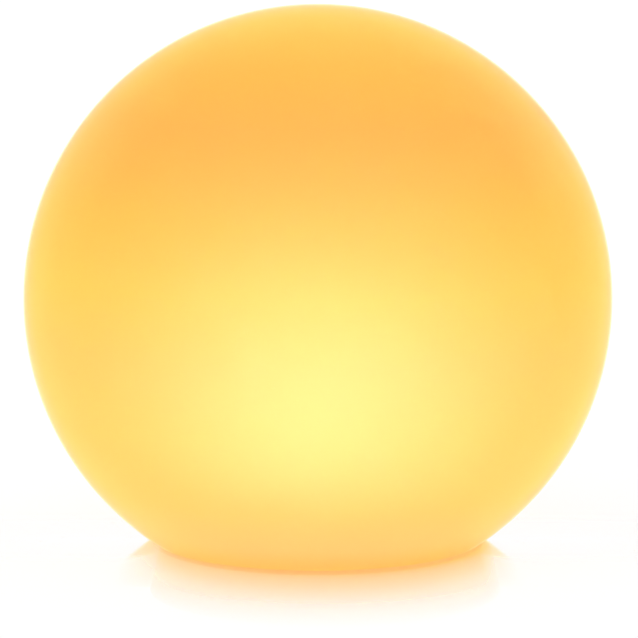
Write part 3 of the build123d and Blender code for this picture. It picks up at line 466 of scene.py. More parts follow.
@dataclass(frozen=True)
class CellWrap(Finish):
    """Shrink sleeve of a cell that lies along X, with its bare ends.

    Attributes:
        axis_y: distance of the cells' axes from the middle plane, in metres.
        axis_z: their height.
        radius: of a cell.
        half: half of the sleeve's length.
        ring_from: share of the radius at which the insulating ring starts.
        fold_from: share of the radius at which the sleeve's fold starts.
        nickel: colour of the bare can.
        ring: colour of the insulating ring.
        crease_size: width of the sleeve's creases, in metres.
        crease_depth: their depth.
    """

    axis_y: float = 0.0093
    axis_z: float = 0.0244
    radius: float = 0.0092
    half: float = 0.0318
    ring_from: float = 0.62
    fold_from: float = 0.84
    nickel: Colour = (0.55, 0.54, 0.50)
    ring: Colour = (0.82, 0.82, 0.80)
    crease_size: float = 0.0016
    crease_depth: float = 0.00004

    def pattern(self, nodes: Nodes, shader: Node) -> None:
        """Draws the sleeve, its fold over the ends, the ring and the can's nickel.

        Args:
            nodes: writer for the material's tree.
            shader: its Principled node.
        """
        where = self.place(nodes)
        split = nodes.add("ShaderNodeSeparateXYZ", i0=where)
        across = nodes.math("SUBTRACT", nodes.math("ABSOLUTE", split.outputs["Y"]), self.axis_y)
        up = nodes.math("SUBTRACT", split.outputs["Z"], self.axis_z)
        squares = nodes.math("ADD", nodes.math("POWER", across, 2.0), nodes.math("POWER", up, 2.0))
        reach = nodes.math("DIVIDE", nodes.math("SQRT", squares), self.radius)
        end = nodes.add("ShaderNodeValToRGB", Fac=reach)
        end.color_ramp.interpolation = "CONSTANT"
        end.color_ramp.elements[0].color = (*self.nickel, 1.0)
        end.color_ramp.elements[1].position = self.ring_from
        end.color_ramp.elements[1].color = (*self.ring, 1.0)
        fold = end.color_ramp.elements.new(self.fold_from)
        fold.color = (*self.colour, 1.0)
        at_end = nodes.math("GREATER_THAN", nodes.math("ABSOLUTE", split.outputs["X"]), self.half)
        along = nodes.vector("MULTIPLY", where, (0.15, 1.0, 1.0)).outputs[0]
        creases = nodes.noise(along, self.crease_size)
        tone = nodes.ramp(creases, ((0.3, self.tone(-0.12)), (0.7, self.tone(0.12))))
        nodes.feed(shader.inputs["Base Color"], nodes.blend(at_end, tone, end.outputs["Color"]))
        bare = nodes.math("MULTIPLY", at_end, nodes.math("LESS_THAN", reach, self.ring_from))
        nodes.feed(shader.inputs["Metallic"], bare)
        nodes.feed(shader.inputs["Roughness"], nodes.spread(creases, 0.22, 0.36))
        nodes.bumped(shader, creases, self.crease_depth)


@dataclass(frozen=True)
class ClearPlastic(Finish):
    """Clear moulded acrylic that carries light.

    Attributes:
        clearness: share of light that it lets through.
    """

    clearness: float = 0.85

    def pattern(self, nodes: Nodes, shader: Node) -> None:
        """Lets light through and drifts the gloss a little.

        Args:
            nodes: writer for the material's tree.
            shader: its Principled node.
        """
        shader.inputs["Transmission Weight"].default_value = self.clearness
        shader.inputs["IOR"].default_value = ACRYLIC_IOR
        gloss = nodes.noise(self.place(nodes), 0.001)
        nodes.feed(shader.inputs["Roughness"], nodes.spread(gloss, 0.06, 0.14))
        tint = nodes.ramp(gloss, ((0.3, self.tone(-0.06)), (0.7, self.colour)))
        nodes.feed(shader.inputs["Base Color"], tint)


@dataclass(frozen=True)
class OpalPaintedGlow(Finish):
    """Satin opal glass lit from a lamp low inside it.

    Attributes:
        low: height at which the first stop of the glow lies, in metres.
        high: height of its last stop.
        stops: the painted glow's colour up the globe, from 0 at the low height to 1 at the high
            one:
            the inner lamp's light painted by height, with painted shade at the foot and a painted
            lighter top.
        clear_share: share of light that passes without being spread evenly.
        clear_tint: tint of that light.
        clear_roughness: how much the glass blurs it.
        rim: how far the glass faces away, the gloss's weight there and its tint.
        rim_roughness: roughness of that gloss.
    """

    low: float = 0.0
    high: float = 0.230
    stops: tuple[tuple[float, Colour], ...] = ()
    clear_share: float = 0.62
    clear_tint: Colour = (1.0, 0.77, 0.30)
    clear_roughness: float = 1.0
    rim: tuple[tuple[float, float, Colour], ...] = ()
    rim_roughness: float = 0.4

    def pattern(self, nodes: Nodes, shader: Node) -> None:
        """Paints the lamp's light into the glow, graded by height with painted shade at the foot
        and a painted lighter top, lets the lamp show through and adds the rim's gloss.

        Args:
            nodes: writer for the material's tree.
            shader: its Principled node.
        """
        super().pattern(nodes, shader)
        share = height_share(nodes, self.low, self.high)
        # painted light: the glow graded by height, with painted shade at the foot and a painted
        # lighter top
        glow = nodes.ramp(share, self.stops, smooth=False)
        nodes.feed(shader.inputs["Emission Color"], glow)
        shader.inputs["Emission Strength"].default_value = 1.0 / (1.0 - self.clear_share)
        through = nodes.blurred_glass(self.clear_tint, self.clear_roughness)
        body = nodes.mix(self.clear_share, shader, through)
        facing = nodes.add("ShaderNodeLayerWeight", Blend=0.5).outputs["Facing"]
        away = nodes.ramp(facing, tuple((at, (w, w, w)) for at, w, _ in self.rim), smooth=False)
        tint = nodes.ramp(facing, tuple((at, colour) for at, _, colour in self.rim), smooth=False)
        gloss = nodes.add("ShaderNodeBsdfAnisotropic", Color=tint)
        gloss.inputs["Roughness"].default_value = self.rim_roughness
        nodes.surface(nodes.mix(away, body, gloss))


@dataclass(frozen=True)
class DomeGlow(Finish):
    """Opal acrylic lit by the tower inside it, dimmer where the flange shades it.

    Attributes:
        fade: height in metres and share of the glow at each stop.
        seen_strength: strength of the glow to an eye that sees the dome bare.
    """

    fade: Form = ((0.041, 0.35), (0.050, 0.70), (0.062, 1.00), (0.074, 1.12), (0.084, 1.15))
    seen_strength: float = 0.72

    def pattern(self, nodes: Nodes, shader: Node) -> None:
        """Grades the glow by height.

        Args:
            nodes: writer for the material's tree.
            shader: its Principled node.
        """
        super().pattern(nodes, shader)
        low, high = self.fade[0][0], self.fade[-1][0]
        stops = [
            ((at - low) / (high - low), tuple(part * level for part in self.glow))
            for at, level in self.fade
        ]
        glow = nodes.ramp(height_share(nodes, low, high), stops)
        nodes.feed(shader.inputs["Emission Color"], glow)
        bare = nodes.add("ShaderNodeLightPath").outputs["Is Camera Ray"]
        strengths = (self.glow_strength, self.seen_strength)
        nodes.feed(shader.inputs["Emission Strength"], nodes.span(bare, (0.0, 1.0), strengths))


@dataclass(frozen=True)
class EtchedWall(Finish):
    """The inner wall of the opal glass, which blurs what passes it.

    Attributes:
        clear_share: share of light that passes.
        clear_tint: tint of that light.
    """

    clear_share: float = 0.94
    clear_tint: Colour = (1.0, 0.98, 0.94)

    def pattern(self, nodes: Nodes, shader: Node) -> None:
        """Mixes the plain wall with blurred glass."""
        through = nodes.blurred_glass(self.clear_tint, self.roughness)
        nodes.surface(nodes.mix(self.clear_share, shader, through))


INNER_WALL = EtchedWall("etched inner wall", (0.75, 0.45, 0.12), roughness=1.0, specular=0.25)
OPAL_GLASS = OpalPaintedGlow(
    "satin opal glass",
    (0.75, 0.36, 0.02),
    roughness=0.75,
    specular=0.25,
    mottle=0.02,
    mottle_size=0.02,
    grain=0.000003,
    # painted light up the globe: painted shade at the very foot, brightest low down, a painted
    # lighter top
    stops=(
        (0.000, (0.30, 0.180, 0.068)),
        (0.052, (0.30, 0.197, 0.113)),
        (0.130, (0.30, 0.170, 0.059)),
        (0.260, (0.30, 0.155, 0.045)),
        (0.400, (0.30, 0.118, 0.035)),
        (0.520, (0.30, 0.120, 0.012)),
        (0.650, (0.30, 0.062, 0.000)),
        (0.720, (0.30, 0.026, 0.000)),
        (0.800, (0.30, 0.002, 0.000)),
        (0.900, (0.30, 0.045, 0.000)),
        (1.000, (0.30, 0.140, 0.020)),
    ),
    rim=(
        (0.40, 0.00, (1.0, 0.95, 0.30)),
        (0.55, 0.06, (1.0, 0.95, 0.30)),
        (0.70, 0.20, (1.0, 0.95, 0.34)),
        (0.83, 0.33, (1.0, 0.97, 0.52)),
        (0.88, 0.42, (1.0, 1.00, 0.62)),
        (0.93, 0.80, (1.0, 1.00, 0.72)),
        (1.00, 0.95, (1.0, 1.00, 0.90)),
    ),
)
LIT_DOME = DomeGlow(
    "lit opal dome", (0.50, 0.45, 0.34), 0.40, glow=(1.0, 0.90, 0.78), glow_strength=6.05
)
WHITE_REFLECTOR = Finish("white satin reflector", (0.87, 0.86, 0.83), 0.36, mottle=0.02, coat=0.15)
WHITE_PLASTIC = Finish(
    "white satin polycarbonate", (0.78, 0.77, 0.74), 0.42, mottle=0.012, grain=0.00001
)
GREY_PLASTIC = Finish(
    "grey textured polycarbonate", (0.24, 0.245, 0.25), 0.52, mottle=0.035, grain=0.00004
)
BLACK_PLASTIC = Finish(
    "black moulded nylon", (0.030, 0.030, 0.032), 0.45, mottle=0.12, grain=0.00002
)
BLACK_SILICONE = Finish(
    "black silicone", (0.024, 0.024, 0.026), 0.62, specular=0.4, mottle=0.15, grain=0.000012
)
GREY_SILICONE = Finish(
    "grey silicone", (0.30, 0.31, 0.32), 0.60, specular=0.4, mottle=0.06, grain=0.000012
)
PALE_SILICONE = Finish("milky silicone", (0.72, 0.71, 0.68), 0.5, mottle=0.05, coat=0.1)
WHITE_NYLON = Finish("natural nylon", (0.78, 0.76, 0.69), 0.46, mottle=0.05)
STEEL = WorkedMetal("stainless steel", (0.60, 0.59, 0.57), 0.28, lay=Lay.RINGS)
ALUMINIUM = WorkedMetal("extruded aluminium", (0.76, 0.77, 0.78), 0.34, lay=Lay.UP)
TURNED_ALUMINIUM = WorkedMetal("turned aluminium", (0.76, 0.77, 0.78), 0.30, lay=Lay.RINGS)
NICKEL = WorkedMetal("nickel strip", (0.62, 0.60, 0.55), 0.32, lay=Lay.ALONG_X)
CAPACITOR_CAN = WorkedMetal("drawn capacitor can", (0.70, 0.71, 0.72), 0.30, lay=Lay.UP)
FERRITE = Finish("pressed ferrite", (0.050, 0.048, 0.047), 0.58, mottle=0.3, mottle_size=0.0006)
CHIP_EPOXY = Finish("chip epoxy", (0.028, 0.028, 0.030), 0.50, mottle=0.1, grain=0.000015)
GREEN_BOARD = CircuitBoard("green circuit board", (0.018, 0.17, 0.055), 0.32, coat=0.3)
WHITE_BOARD = CircuitBoard(
    "white metal-core board",
    (0.84, 0.84, 0.82),
    0.34,
    track=(0.76, 0.76, 0.73),
    bare=(0.70, 0.70, 0.68),
    coat=0.2,
)
CELL_SLEEVE = CellWrap("blue cell sleeve", (0.05, 0.16, 0.36), 0.28)
RED_LEAD = Finish("red silicone lead", (0.42, 0.030, 0.022), 0.44, mottle=0.08)
PALE_LEAD = Finish("pale silicone lead", (0.62, 0.61, 0.58), 0.44, mottle=0.06)
LED_WINDOW = Finish(
    "phosphor window", (0.86, 0.66, 0.16), 0.5, mottle=0.08, mottle_size=0.0005,
    glow=(1.0, 0.80, 0.42), glow_strength=1.2,
)
LED_PACKAGE = Finish("white LED package", (0.84, 0.84, 0.80), 0.40, mottle=0.03)
CLEAR_PIPE = ClearPlastic(
    "clear light pipe", (0.80, 0.96, 0.86), 0.10, glow=(0.25, 1.0, 0.45), glow_strength=0.35
)
MARK_WHITE = Finish("white inlay", (0.74, 0.74, 0.72), 0.48, mottle=0.04, mottle_size=0.001)

SLOT_FINISH: dict[str, Finish] = {
    "silicone_white": PALE_SILICONE,
    "white_polycarbonate": WHITE_PLASTIC,
    "silicone_grey": GREY_SILICONE,
    "grey_polycarbonate": GREY_PLASTIC,
    "black_silicone": BLACK_SILICONE,
    "stainless_steel": STEEL,
    "black_plastic": BLACK_PLASTIC,
    "clear_acrylic": CLEAR_PIPE,
    "led_phosphor": LED_WINDOW,
    "green_board": GREEN_BOARD,
    "ferrite": FERRITE,
    "capacitor_can": CAPACITOR_CAN,
    "white_nylon": WHITE_NYLON,
    "cell_sleeve": CELL_SLEEVE,
    "nickel_strip": NICKEL,
    "lead_insulation": PALE_LEAD,
    "aluminium": ALUMINIUM,
    "white_board": WHITE_BOARD,
    "opal_glass": OPAL_GLASS,
    "opal_acrylic": LIT_DOME,
    "white_reflector": WHITE_REFLECTOR,
}
NODE_FINISH: dict[str, Finish] = {
    "battery_leads": RED_LEAD,
    "heat_spreader": TURNED_ALUMINIUM,
    "board_chips": CHIP_EPOXY,
}


# --- Meshes ---


class LatheTree:
    """Geometry Nodes tree that turns a profile about an axis, with lobes or a thread.

    A profile point's Y is the height of its lobes, and its attribute thread is 1 where the
    profile carries the thread.
    """

    NAME = "turned profile"
    MERGE = 0.000004  # distance within which points become one, in metres

    @classmethod
    def tree(cls) -> NodeTree:
        """Builds the node group at its first use.

        Returns:
            The node group.
        """
        found = bpy.data.node_groups.get(cls.NAME)
        if found:
            return found
        tree = new_tree(
            cls.NAME,
            ("Profile Points", "Segments", "Lobes", "Inner From"),
            ("Thread Pitch", "Thread Depth"),
        )
        nodes = Nodes(tree)
        given = nodes.add("NodeGroupInput").outputs
        rows = nodes.math("ADD", given["Segments"], 1.0)
        grid = nodes.add("GeometryNodeMeshGrid")
        nodes.feed(grid.inputs["Vertices X"], given["Profile Points"])
        nodes.feed(grid.inputs["Vertices Y"], rows)
        number = nodes.add("GeometryNodeInputIndex").outputs[0]
        station = nodes.math("FLOOR", nodes.math("DIVIDE", number, rows))
        turn = nodes.math("DIVIDE", nodes.math("MODULO", number, rows), given["Segments"])
        angle = nodes.math("MULTIPLY", turn, 2.0 * math.pi)
        place = nodes.add("GeometryNodeInputPosition").outputs[0]
        spot = cls.read(nodes, given["Geometry"], "FLOAT_VECTOR", place, station)
        split = nodes.add("ShaderNodeSeparateXYZ", i0=spot)
        cut = nodes.add("GeometryNodeInputNamedAttribute", {"data_type": "FLOAT"}, Name="thread")
        threaded = cls.read(nodes, given["Geometry"], "FLOAT", cut.outputs[0], station)
        lobes = nodes.math("COSINE", nodes.math("MULTIPLY", angle, given["Lobes"]))
        wave = nodes.math("MULTIPLY", split.outputs["Y"], lobes)
        climb = nodes.math("DIVIDE", split.outputs["Z"], given["Thread Pitch"])
        crest = nodes.math("PINGPONG", nodes.math("SUBTRACT", climb, turn), 0.5)
        groove = nodes.math("MULTIPLY", nodes.math("SUBTRACT", crest, 0.5), 2.0)
        groove = nodes.math("MULTIPLY", groove, given["Thread Depth"])
        groove = nodes.math("MULTIPLY", groove, threaded)
        reach = nodes.math("ADD", nodes.math("ADD", split.outputs["X"], wave), groove)
        flat = nodes.add("ShaderNodeCombineXYZ", X=reach, Z=split.outputs["Z"]).outputs[0]
        turned_point = nodes.add("ShaderNodeVectorRotate", {"rotation_type": "Z_AXIS"})
        nodes.feed(turned_point.inputs["Vector"], flat)
        nodes.feed(turned_point.inputs["Angle"], angle)
        moved = nodes.add("GeometryNodeSetPosition")
        nodes.feed(moved.inputs["Geometry"], grid.outputs["Mesh"])
        nodes.feed(moved.inputs["Position"], turned_point.outputs[0])
        row = nodes.math("FLOOR", nodes.math("DIVIDE", number, given["Segments"]))
        inner = nodes.math("GREATER_THAN", row, nodes.math("SUBTRACT", given["Inner From"], 0.5))
        marked = nodes.add(
            "GeometryNodeStoreNamedAttribute",
            {"data_type": "BOOLEAN", "domain": "FACE"},
            Geometry=moved.outputs[0],
            Name="second",
            Value=inner,
        )
        joined = nodes.add("GeometryNodeMergeByDistance", Geometry=marked.outputs[0])
        joined.inputs["Distance"].default_value = cls.MERGE
        finish_tree(nodes, given, joined.outputs[0])
        return tree

    @staticmethod
    def read(nodes: Nodes, source: object, kind: str, value: object, index: object) -> NodeSocket:
        """Reads a value of one profile point.

        Args:
            nodes: writer for the tree.
            source: the profile.
            kind: the value's data type.
            value: the field that is read.
            index: number of the point.

        Returns:
            The value.
        """
        node = nodes.add("GeometryNodeSampleIndex", {"data_type": kind})
        nodes.feed(node.inputs["Geometry"], source)
        nodes.feed(node.inputs["Value"], value)
        nodes.feed(node.inputs["Index"], index)
        return node.outputs[0]


class Layout(Enum):
    """How copies of a piece are set out."""

    RING = "set out on a ring"
    GRID = "set out on a grid"


class SetOutTree:
    """Geometry Nodes tree that sets out copies of the piece it is given."""

    @classmethod
    def tree(cls, layout: Layout) -> NodeTree:
        """Builds the node group of a layout at its first use.

        Args:
            layout: ring or grid.

        Returns:
            The node group.
        """
        found = bpy.data.node_groups.get(layout.value)
        if found:
            return found
        ring = layout is Layout.RING
        whole = ("Count", "In Group", "Seed") if ring else ("Count", "Columns", "Seed")
        sizes = ("Circle", "First Angle", "Step", "Group Step") if ring else ("Pitch X", "Pitch Y")
        tree = new_tree(layout.value, whole, (*sizes, "Spin"))
        nodes = Nodes(tree)
        given = nodes.add("NodeGroupInput").outputs
        number = nodes.add("GeometryNodeInputIndex").outputs[0]
        seeded = {"data_type": "FLOAT"}
        chance = nodes.add("FunctionNodeRandomValue", seeded, Seed=given["Seed"])
        spin = nodes.math("MULTIPLY", chance.outputs["Value"], given["Spin"])
        if ring:
            member = nodes.math("MODULO", number, given["In Group"])
            group = nodes.math("FLOOR", nodes.math("DIVIDE", number, given["In Group"]))
            angle = nodes.math("MULTIPLY", member, given["Step"])
            angle = nodes.math("ADD", angle, nodes.math("MULTIPLY", group, given["Group Step"]))
            angle = nodes.math("RADIANS", nodes.math("ADD", angle, given["First Angle"]))
            out_x = nodes.math("MULTIPLY", nodes.math("COSINE", angle), given["Circle"])
            out_y = nodes.math("MULTIPLY", nodes.math("SINE", angle), given["Circle"])
            turn = nodes.math("ADD", angle, spin)
        else:
            column = nodes.math("MODULO", number, given["Columns"])
            line = nodes.math("FLOOR", nodes.math("DIVIDE", number, given["Columns"]))
            rows = nodes.math("DIVIDE", given["Count"], given["Columns"])
            out_x = cls.spot(nodes, column, given["Columns"], given["Pitch X"])
            out_y = cls.spot(nodes, line, rows, given["Pitch Y"])
            turn = spin
        place = nodes.add("ShaderNodeCombineXYZ", X=out_x, Y=out_y).outputs[0]
        points = nodes.add("GeometryNodePoints", Count=given["Count"], Position=place)
        facing = nodes.add("ShaderNodeCombineXYZ", Z=turn).outputs[0]
        kept = nodes.add(
            "GeometryNodeStoreNamedAttribute",
            {"data_type": "FLOAT_VECTOR", "domain": "POINT"},
            Geometry=points.outputs[0],
            Name="facing",
            Value=facing,
        )
        copies = nodes.add("GeometryNodeInstanceOnPoints", Points=kept.outputs[0])
        nodes.feed(copies.inputs["Instance"], given["Geometry"])
        read = nodes.add(
            "GeometryNodeInputNamedAttribute", {"data_type": "FLOAT_VECTOR"}, Name="facing"
        )
        nodes.feed(copies.inputs["Rotation"], read.outputs[0])
        finish_tree(nodes, given, copies.outputs[0])
        return tree

    @staticmethod
    def spot(nodes: Nodes, index: object, count: object, pitch: object) -> NodeSocket:
        """Place of one column or line of a centred grid."""
        middle = nodes.math("MULTIPLY", nodes.math("SUBTRACT", count, 1.0), 0.5)
        return nodes.math("MULTIPLY", nodes.math("SUBTRACT", index, middle), pitch)


def new_tree(name: str, whole: Sequence[str], sizes: Sequence[str]) -> NodeTree:
    """Starts a Geometry Nodes tree with named inputs.

    Args:
        name: of the tree.
        whole: names of its whole-number inputs.
        sizes: names of its other number inputs.

    Returns:
        The empty tree, with inputs for the two finishes as well.
    """
    tree = bpy.data.node_groups.new(name, "GeometryNodeTree")
    face = tree.interface
    face.new_socket("Geometry", in_out="INPUT", socket_type="NodeSocketGeometry")
    finishes = ("Finish", "Second Finish")
    for names, kind in ((whole, "Int"), (sizes, "Float"), (finishes, "Material")):
        for label in names:
            face.new_socket(label, in_out="INPUT", socket_type=f"NodeSocket{kind}")
    face.new_socket("Geometry", in_out="OUTPUT", socket_type="NodeSocketGeometry")
    return tree


def finish_tree(nodes: Nodes, given: object, shape: NodeSocket) -> None:
    """Ends a tree: real faces, and the finish of those marked second and of the rest.

    Args:
        nodes: writer for the tree.
        given: outputs of its group input.
        shape: the geometry to end with.
    """
    real = nodes.add("GeometryNodeRealizeInstances", Geometry=shape)
    first = nodes.add("GeometryNodeSetMaterial", Geometry=real.outputs[0])
    nodes.feed(first.inputs["Material"], given["Finish"])
    mark = nodes.add("GeometryNodeInputNamedAttribute", {"data_type": "BOOLEAN"}, Name="second")
    last = nodes.add("GeometryNodeSetMaterial", Geometry=first.outputs[0])
    nodes.feed(last.inputs["Selection"], mark.outputs[0])
    nodes.feed(last.inputs["Material"], given["Second Finish"])
    out = nodes.add("NodeGroupOutput")
    nodes.feed(out.inputs[0], last.outputs[0])


def socket_id(tree: NodeTree, name: str) -> str:
    """The identifier of a tree's named input."""
    items = tree.interface.items_tree
    return next(i.identifier for i in items if i.name == name and i.in_out == "INPUT")


def link(obj: Object) -> Object:
    """Puts a new object into the scene."""
    bpy.context.scene.collection.objects.link(obj)
    return obj


def run_tree(name: str, base: Mesh, tree: NodeTree, values: dict[str, object]) -> Object:
    """Runs a Geometry Nodes tree on a mesh and keeps the plain mesh it makes.

    Args:
        name: of the new piece.
        base: the mesh that the tree starts from.
        tree: the tree.
        values: the tree's inputs, by name.

    Returns:
        The new object, at the origin, with no modifier.
    """
    maker = link(bpy.data.objects.new(f"{name}_maker", base))
    modifier = maker.modifiers.new("shape", "NODES")
    modifier.node_group = tree
    for key, value in values.items():
        modifier[socket_id(tree, key)] = value
    made = bpy.data.meshes.new_from_object(
        maker.evaluated_get(bpy.context.evaluated_depsgraph_get())
    )
    maker.modifiers.remove(modifier)
    bpy.data.objects.remove(maker)
    made.name = name
    drop_empty_slots(made)
    return link(bpy.data.objects.new(name, made))


def drop_empty_slots(mesh: Mesh) -> None:
    """Removes material slots that hold nothing, and keeps each face on its own finish.

    Args:
        mesh: the mesh whose slots are put in order.
    """
    finishes = list(mesh.materials)
    kept = [k for k, finish in enumerate(finishes) if finish]
    new_number = {old: new for new, old in enumerate(kept)}
    numbers = [new_number.get(face.material_index, 0) for face in mesh.polygons]
    mesh.materials.clear()
    for k in kept:
        mesh.materials.append(finishes[k])
    mesh.polygons.foreach_set("material_index", numbers)


def soften(obj: Object, angle: float = CREASE) -> Object:
    """Shades a piece smooth, with edges sharper than the angle kept crisp.

    Args:
        obj: the piece.
        angle: of the gentlest edge that is kept crisp, in degrees.

    Returns:
        The piece.
    """
    obj.data.shade_smooth()
    obj.data.set_sharp_from_angle(angle=math.radians(angle))
    return obj


def turned(
    name: str,
    profile: Sequence[tuple[float, ...]],
    finish: Finish,
    segments: int = 128,
    inner: Optional[Finish] = None,
    inner_from: Optional[int] = None,
    thread: Optional["Thread"] = None,
) -> Object:
    """Turns a profile about the part's axis.

    Args:
        name: of the piece.
        profile: radius and height of each point, and the height of its lobes if it has them, in
            millimetres, with the outside on the left of the way from first to last.
        finish: its finish.
        segments: facets round the axis.
        inner: finish of the wall that is not seen, if it has its own.
        inner_from: number of the profile's run at which that wall starts.
        thread: the thread cut into it.

    Returns:
        The turned piece.
    """
    mesh = bpy.data.meshes.new(f"{name}_profile")
    points = [(p[0] * MM, (p[2] if len(p) > 2 else 0.0) * MM, p[1] * MM) for p in profile]
    mesh.from_pydata(points, [(k, k + 1) for k in range(len(points) - 1)], [])
    if thread:
        cut = mesh.attributes.new("thread", "FLOAT", "POINT")
        for k, (reach, _, z) in enumerate(points):
            cut.data[k].value = thread.share(z / MM) if reach > thread.core * MM else 0.0
    values = {
        "Profile Points": len(points),
        "Segments": segments,
        "Lobes": DRIVE_LOBES,
        "Inner From": inner_from or len(points),
        "Thread Pitch": (thread.pitch if thread else 1.0) * MM,
        "Thread Depth": (thread.depth if thread else 0.0) * MM,
        "Finish": finish.material(),
        "Second Finish": (inner or finish).material(),
    }
    return soften(run_tree(name, mesh, LatheTree.tree(), values), TURNED_CREASE)


@dataclass(frozen=True)
class Thread:
    """A thread on a turned piece. Sizes in millimetres.

    Attributes:
        low: height at which it starts.
        high: height at which it ends.
        pitch: climb in one turn.
        depth: depth of its groove.
        core: radius within which the tip stays plain.
    """

    low: float
    high: float
    pitch: float
    depth: float
    core: float = 0.5

    def share(self, height: float) -> float:
        """How much of the groove's depth there is at a height: none outside, eased at the ends."""
        inside = min(height - self.low, self.high - height) / (self.pitch * 0.6)
        return max(0.0, min(1.0, inside))


def ring_of(count: int, circle: float = 0.0, first: float = 0.0) -> dict[str, float]:
    """Layout sizes of an even ring.

    Args:
        count: number of copies.
        circle: radius by which each is moved out, in millimetres.
        first: angle of the first, in degrees.

    Returns:
        The sizes, by the tree's input names.
    """
    return {
        "Count": count,
        "In Group": count,
        "Circle": circle * MM,
        "First Angle": first,
        "Step": 360.0 / count,
        "Group Step": 0.0,
    }


def set_out(
    name: str,
    piece: Object,
    layout: Layout,
    values: dict[str, object],
    finish: Finish,
    second: Optional[Finish] = None,
) -> Object:
    """Sets out copies of a piece and removes the pattern.

    Args:
        name: of the set.
        piece: the pattern.
        layout: ring or grid.
        values: sizes of the layout, by the tree's input names.
        finish: finish of the copies.
        second: finish of their faces marked second.

    Returns:
        The set, as one plain mesh.
    """
    base = piece.data
    bpy.data.objects.remove(piece)
    full = {"Seed": 3, "Spin": 0.0, **values}
    full["Finish"] = finish.material()
    full["Second Finish"] = (second or finish).material()
    return soften(run_tree(name, base, SetOutTree.tree(layout), full))


def stack(name: str, loops: Sequence[Sequence[Point]], second_cap: bool = False) -> Object:
    """Joins loops of points, in millimetres, into a closed shell.

    Args:
        name: of the piece.
        loops: loops of the same number of points.
        second_cap: marks the last cap for the second finish if true.

    Returns:
        The shell, shaded smooth over its gentle edges.
    """
    shell = bmesh.new()
    rings = [[shell.verts.new(Vector(p) * MM) for p in loop] for loop in loops]
    count = len(rings[0])
    for low, high in zip(rings, rings[1:]):
        for k in range(count):
            shell.faces.new((low[k], low[(k + 1) % count], high[(k + 1) % count], high[k]))
    shell.faces.new(rings[0][::-1])
    shell.faces.new(rings[-1])
    cap_number = len(shell.faces) - 1
    bmesh.ops.recalc_face_normals(shell, faces=shell.faces)
    mesh = bpy.data.meshes.new(name)
    shell.to_mesh(mesh)
    shell.free()
    if second_cap:
        mark = mesh.attributes.new("second", "BOOLEAN", "FACE")
        mark.data[cap_number].value = True
    return soften(link(bpy.data.objects.new(name, mesh)))


def inset(outline: Outline, by: float) -> Outline:
    """Moves each side of a flat outline inwards by the same distance.

    Args:
        outline: the outline, either way round.
        by: the distance.

    Returns:
        The smaller outline, with as many points.
    """
    count = len(outline)
    area = sum(
        outline[k][0] * outline[(k + 1) % count][1] - outline[(k + 1) % count][0] * outline[k][1]
        for k in range(count)
    )
    way = 1.0 if area > 0 else -1.0
    moved: Outline = []
    for k, corner in enumerate(outline):
        here = Vector(corner)
        along = (here - Vector(outline[k - 1])).normalized()
        ahead = (Vector(outline[(k + 1) % count]) - here).normalized()
        first, second = (Vector((-v.y, v.x)) * way for v in (along, ahead))
        middle = (first + second).normalized()
        reach = by / max(middle.dot(first), 0.35)
        moved.append(tuple(here + middle * reach))
    return moved


def plate(name: str, outline: Outline, foot: float, face: float, bevel: float) -> Object:
    """Raises a flat outline into a small plate with a bevelled face.

    Args:
        name: of the piece.
        outline: points of the plan, in millimetres.
        foot: height of its foot, sunk in what carries it.
        face: height of its face.
        bevel: size of the bevel round the face.

    Returns:
        The plate.
    """
    edge = face + bevel if foot > face else face - bevel
    loops = (
        [(x, y, foot) for x, y in outline],
        [(x, y, edge) for x, y in outline],
        [(x, y, face) for x, y in inset(outline, bevel)],
    )
    return stack(name, loops)


def joined(name: str, pieces: Sequence[Object]) -> Object:
    """Makes one piece of several and removes them.

    Args:
        name: of the new piece.
        pieces: the pieces to join.

    Returns:
        The new piece.
    """
    shell = bmesh.new()
    for piece in pieces:
        shell.from_mesh(piece.data)
    mesh = bpy.data.meshes.new(name)
    shell.to_mesh(mesh)
    shell.free()
    for piece in pieces:
        bpy.data.objects.remove(piece)
    return soften(link(bpy.data.objects.new(name, mesh)))


def dressed(obj: Object, finish: Finish) -> Object:
    """Gives a piece one finish.

    Args:
        obj: the piece.
        finish: the finish.

    Returns:
        The piece.
    """
    obj.data.materials.clear()
    obj.data.materials.append(finish.material())
    return obj


def ring_bar(radius: float, width: float, start: float, end: float, steps: int) -> Outline:
    """Outline of a bar with round ends, bent about the origin.

    Args:
        radius: of its middle line, in millimetres.
        width: of the bar.
        start: first angle in degrees.
        end: last angle.
        steps: runs along the bend.

    Returns:
        The outline, all the way round.
    """
    outer = arc((0.0, 0.0), radius + width / 2, start, end, steps)
    inner = arc((0.0, 0.0), radius - width / 2, end, start, steps)
    tips = [
        arc(polar_spot(radius, angle), width / 2, first, first + 180.0, TIP_STEPS)[1:-1]
        for angle, first in ((end, end), (start, start + 180.0))
    ]
    return outer + tips[0] + inner + tips[1]


def straight_bar(start: Spot, end: Spot, width: float) -> Outline:
    """Outline of a straight bar with round ends.

    Args:
        start: middle of its first end, in millimetres.
        end: middle of its last end.
        width: of the bar.

    Returns:
        The outline, all the way round.
    """
    angle = math.degrees(math.atan2(end[1] - start[1], end[0] - start[0]))
    head = arc(end, width / 2, angle - 90.0, angle + 90.0, TIP_STEPS)
    tail = arc(start, width / 2, angle + 90.0, angle + 270.0, TIP_STEPS)
    return head + tail


def polar_spot(radius: float, angle: float) -> Spot:
    """A point of the plan at a radius and an angle in degrees."""
    return (radius * math.cos(math.radians(angle)), radius * math.sin(math.radians(angle)))


def arc(centre: Spot, radius: float, start: float, end: float, steps: int) -> Outline:
    """Points of an arc of a profile.

    Args:
        centre: radius and height of its centre, in millimetres.
        radius: its radius.
        start: first angle in degrees, from the outward direction.
        end: last angle.
        steps: number of runs.

    Returns:
        The points, both ends included.
    """
    angles = [math.radians(start + (end - start) * k / steps) for k in range(steps + 1)]
    return [(centre[0] + radius * math.cos(a), centre[1] + radius * math.sin(a)) for a in angles]


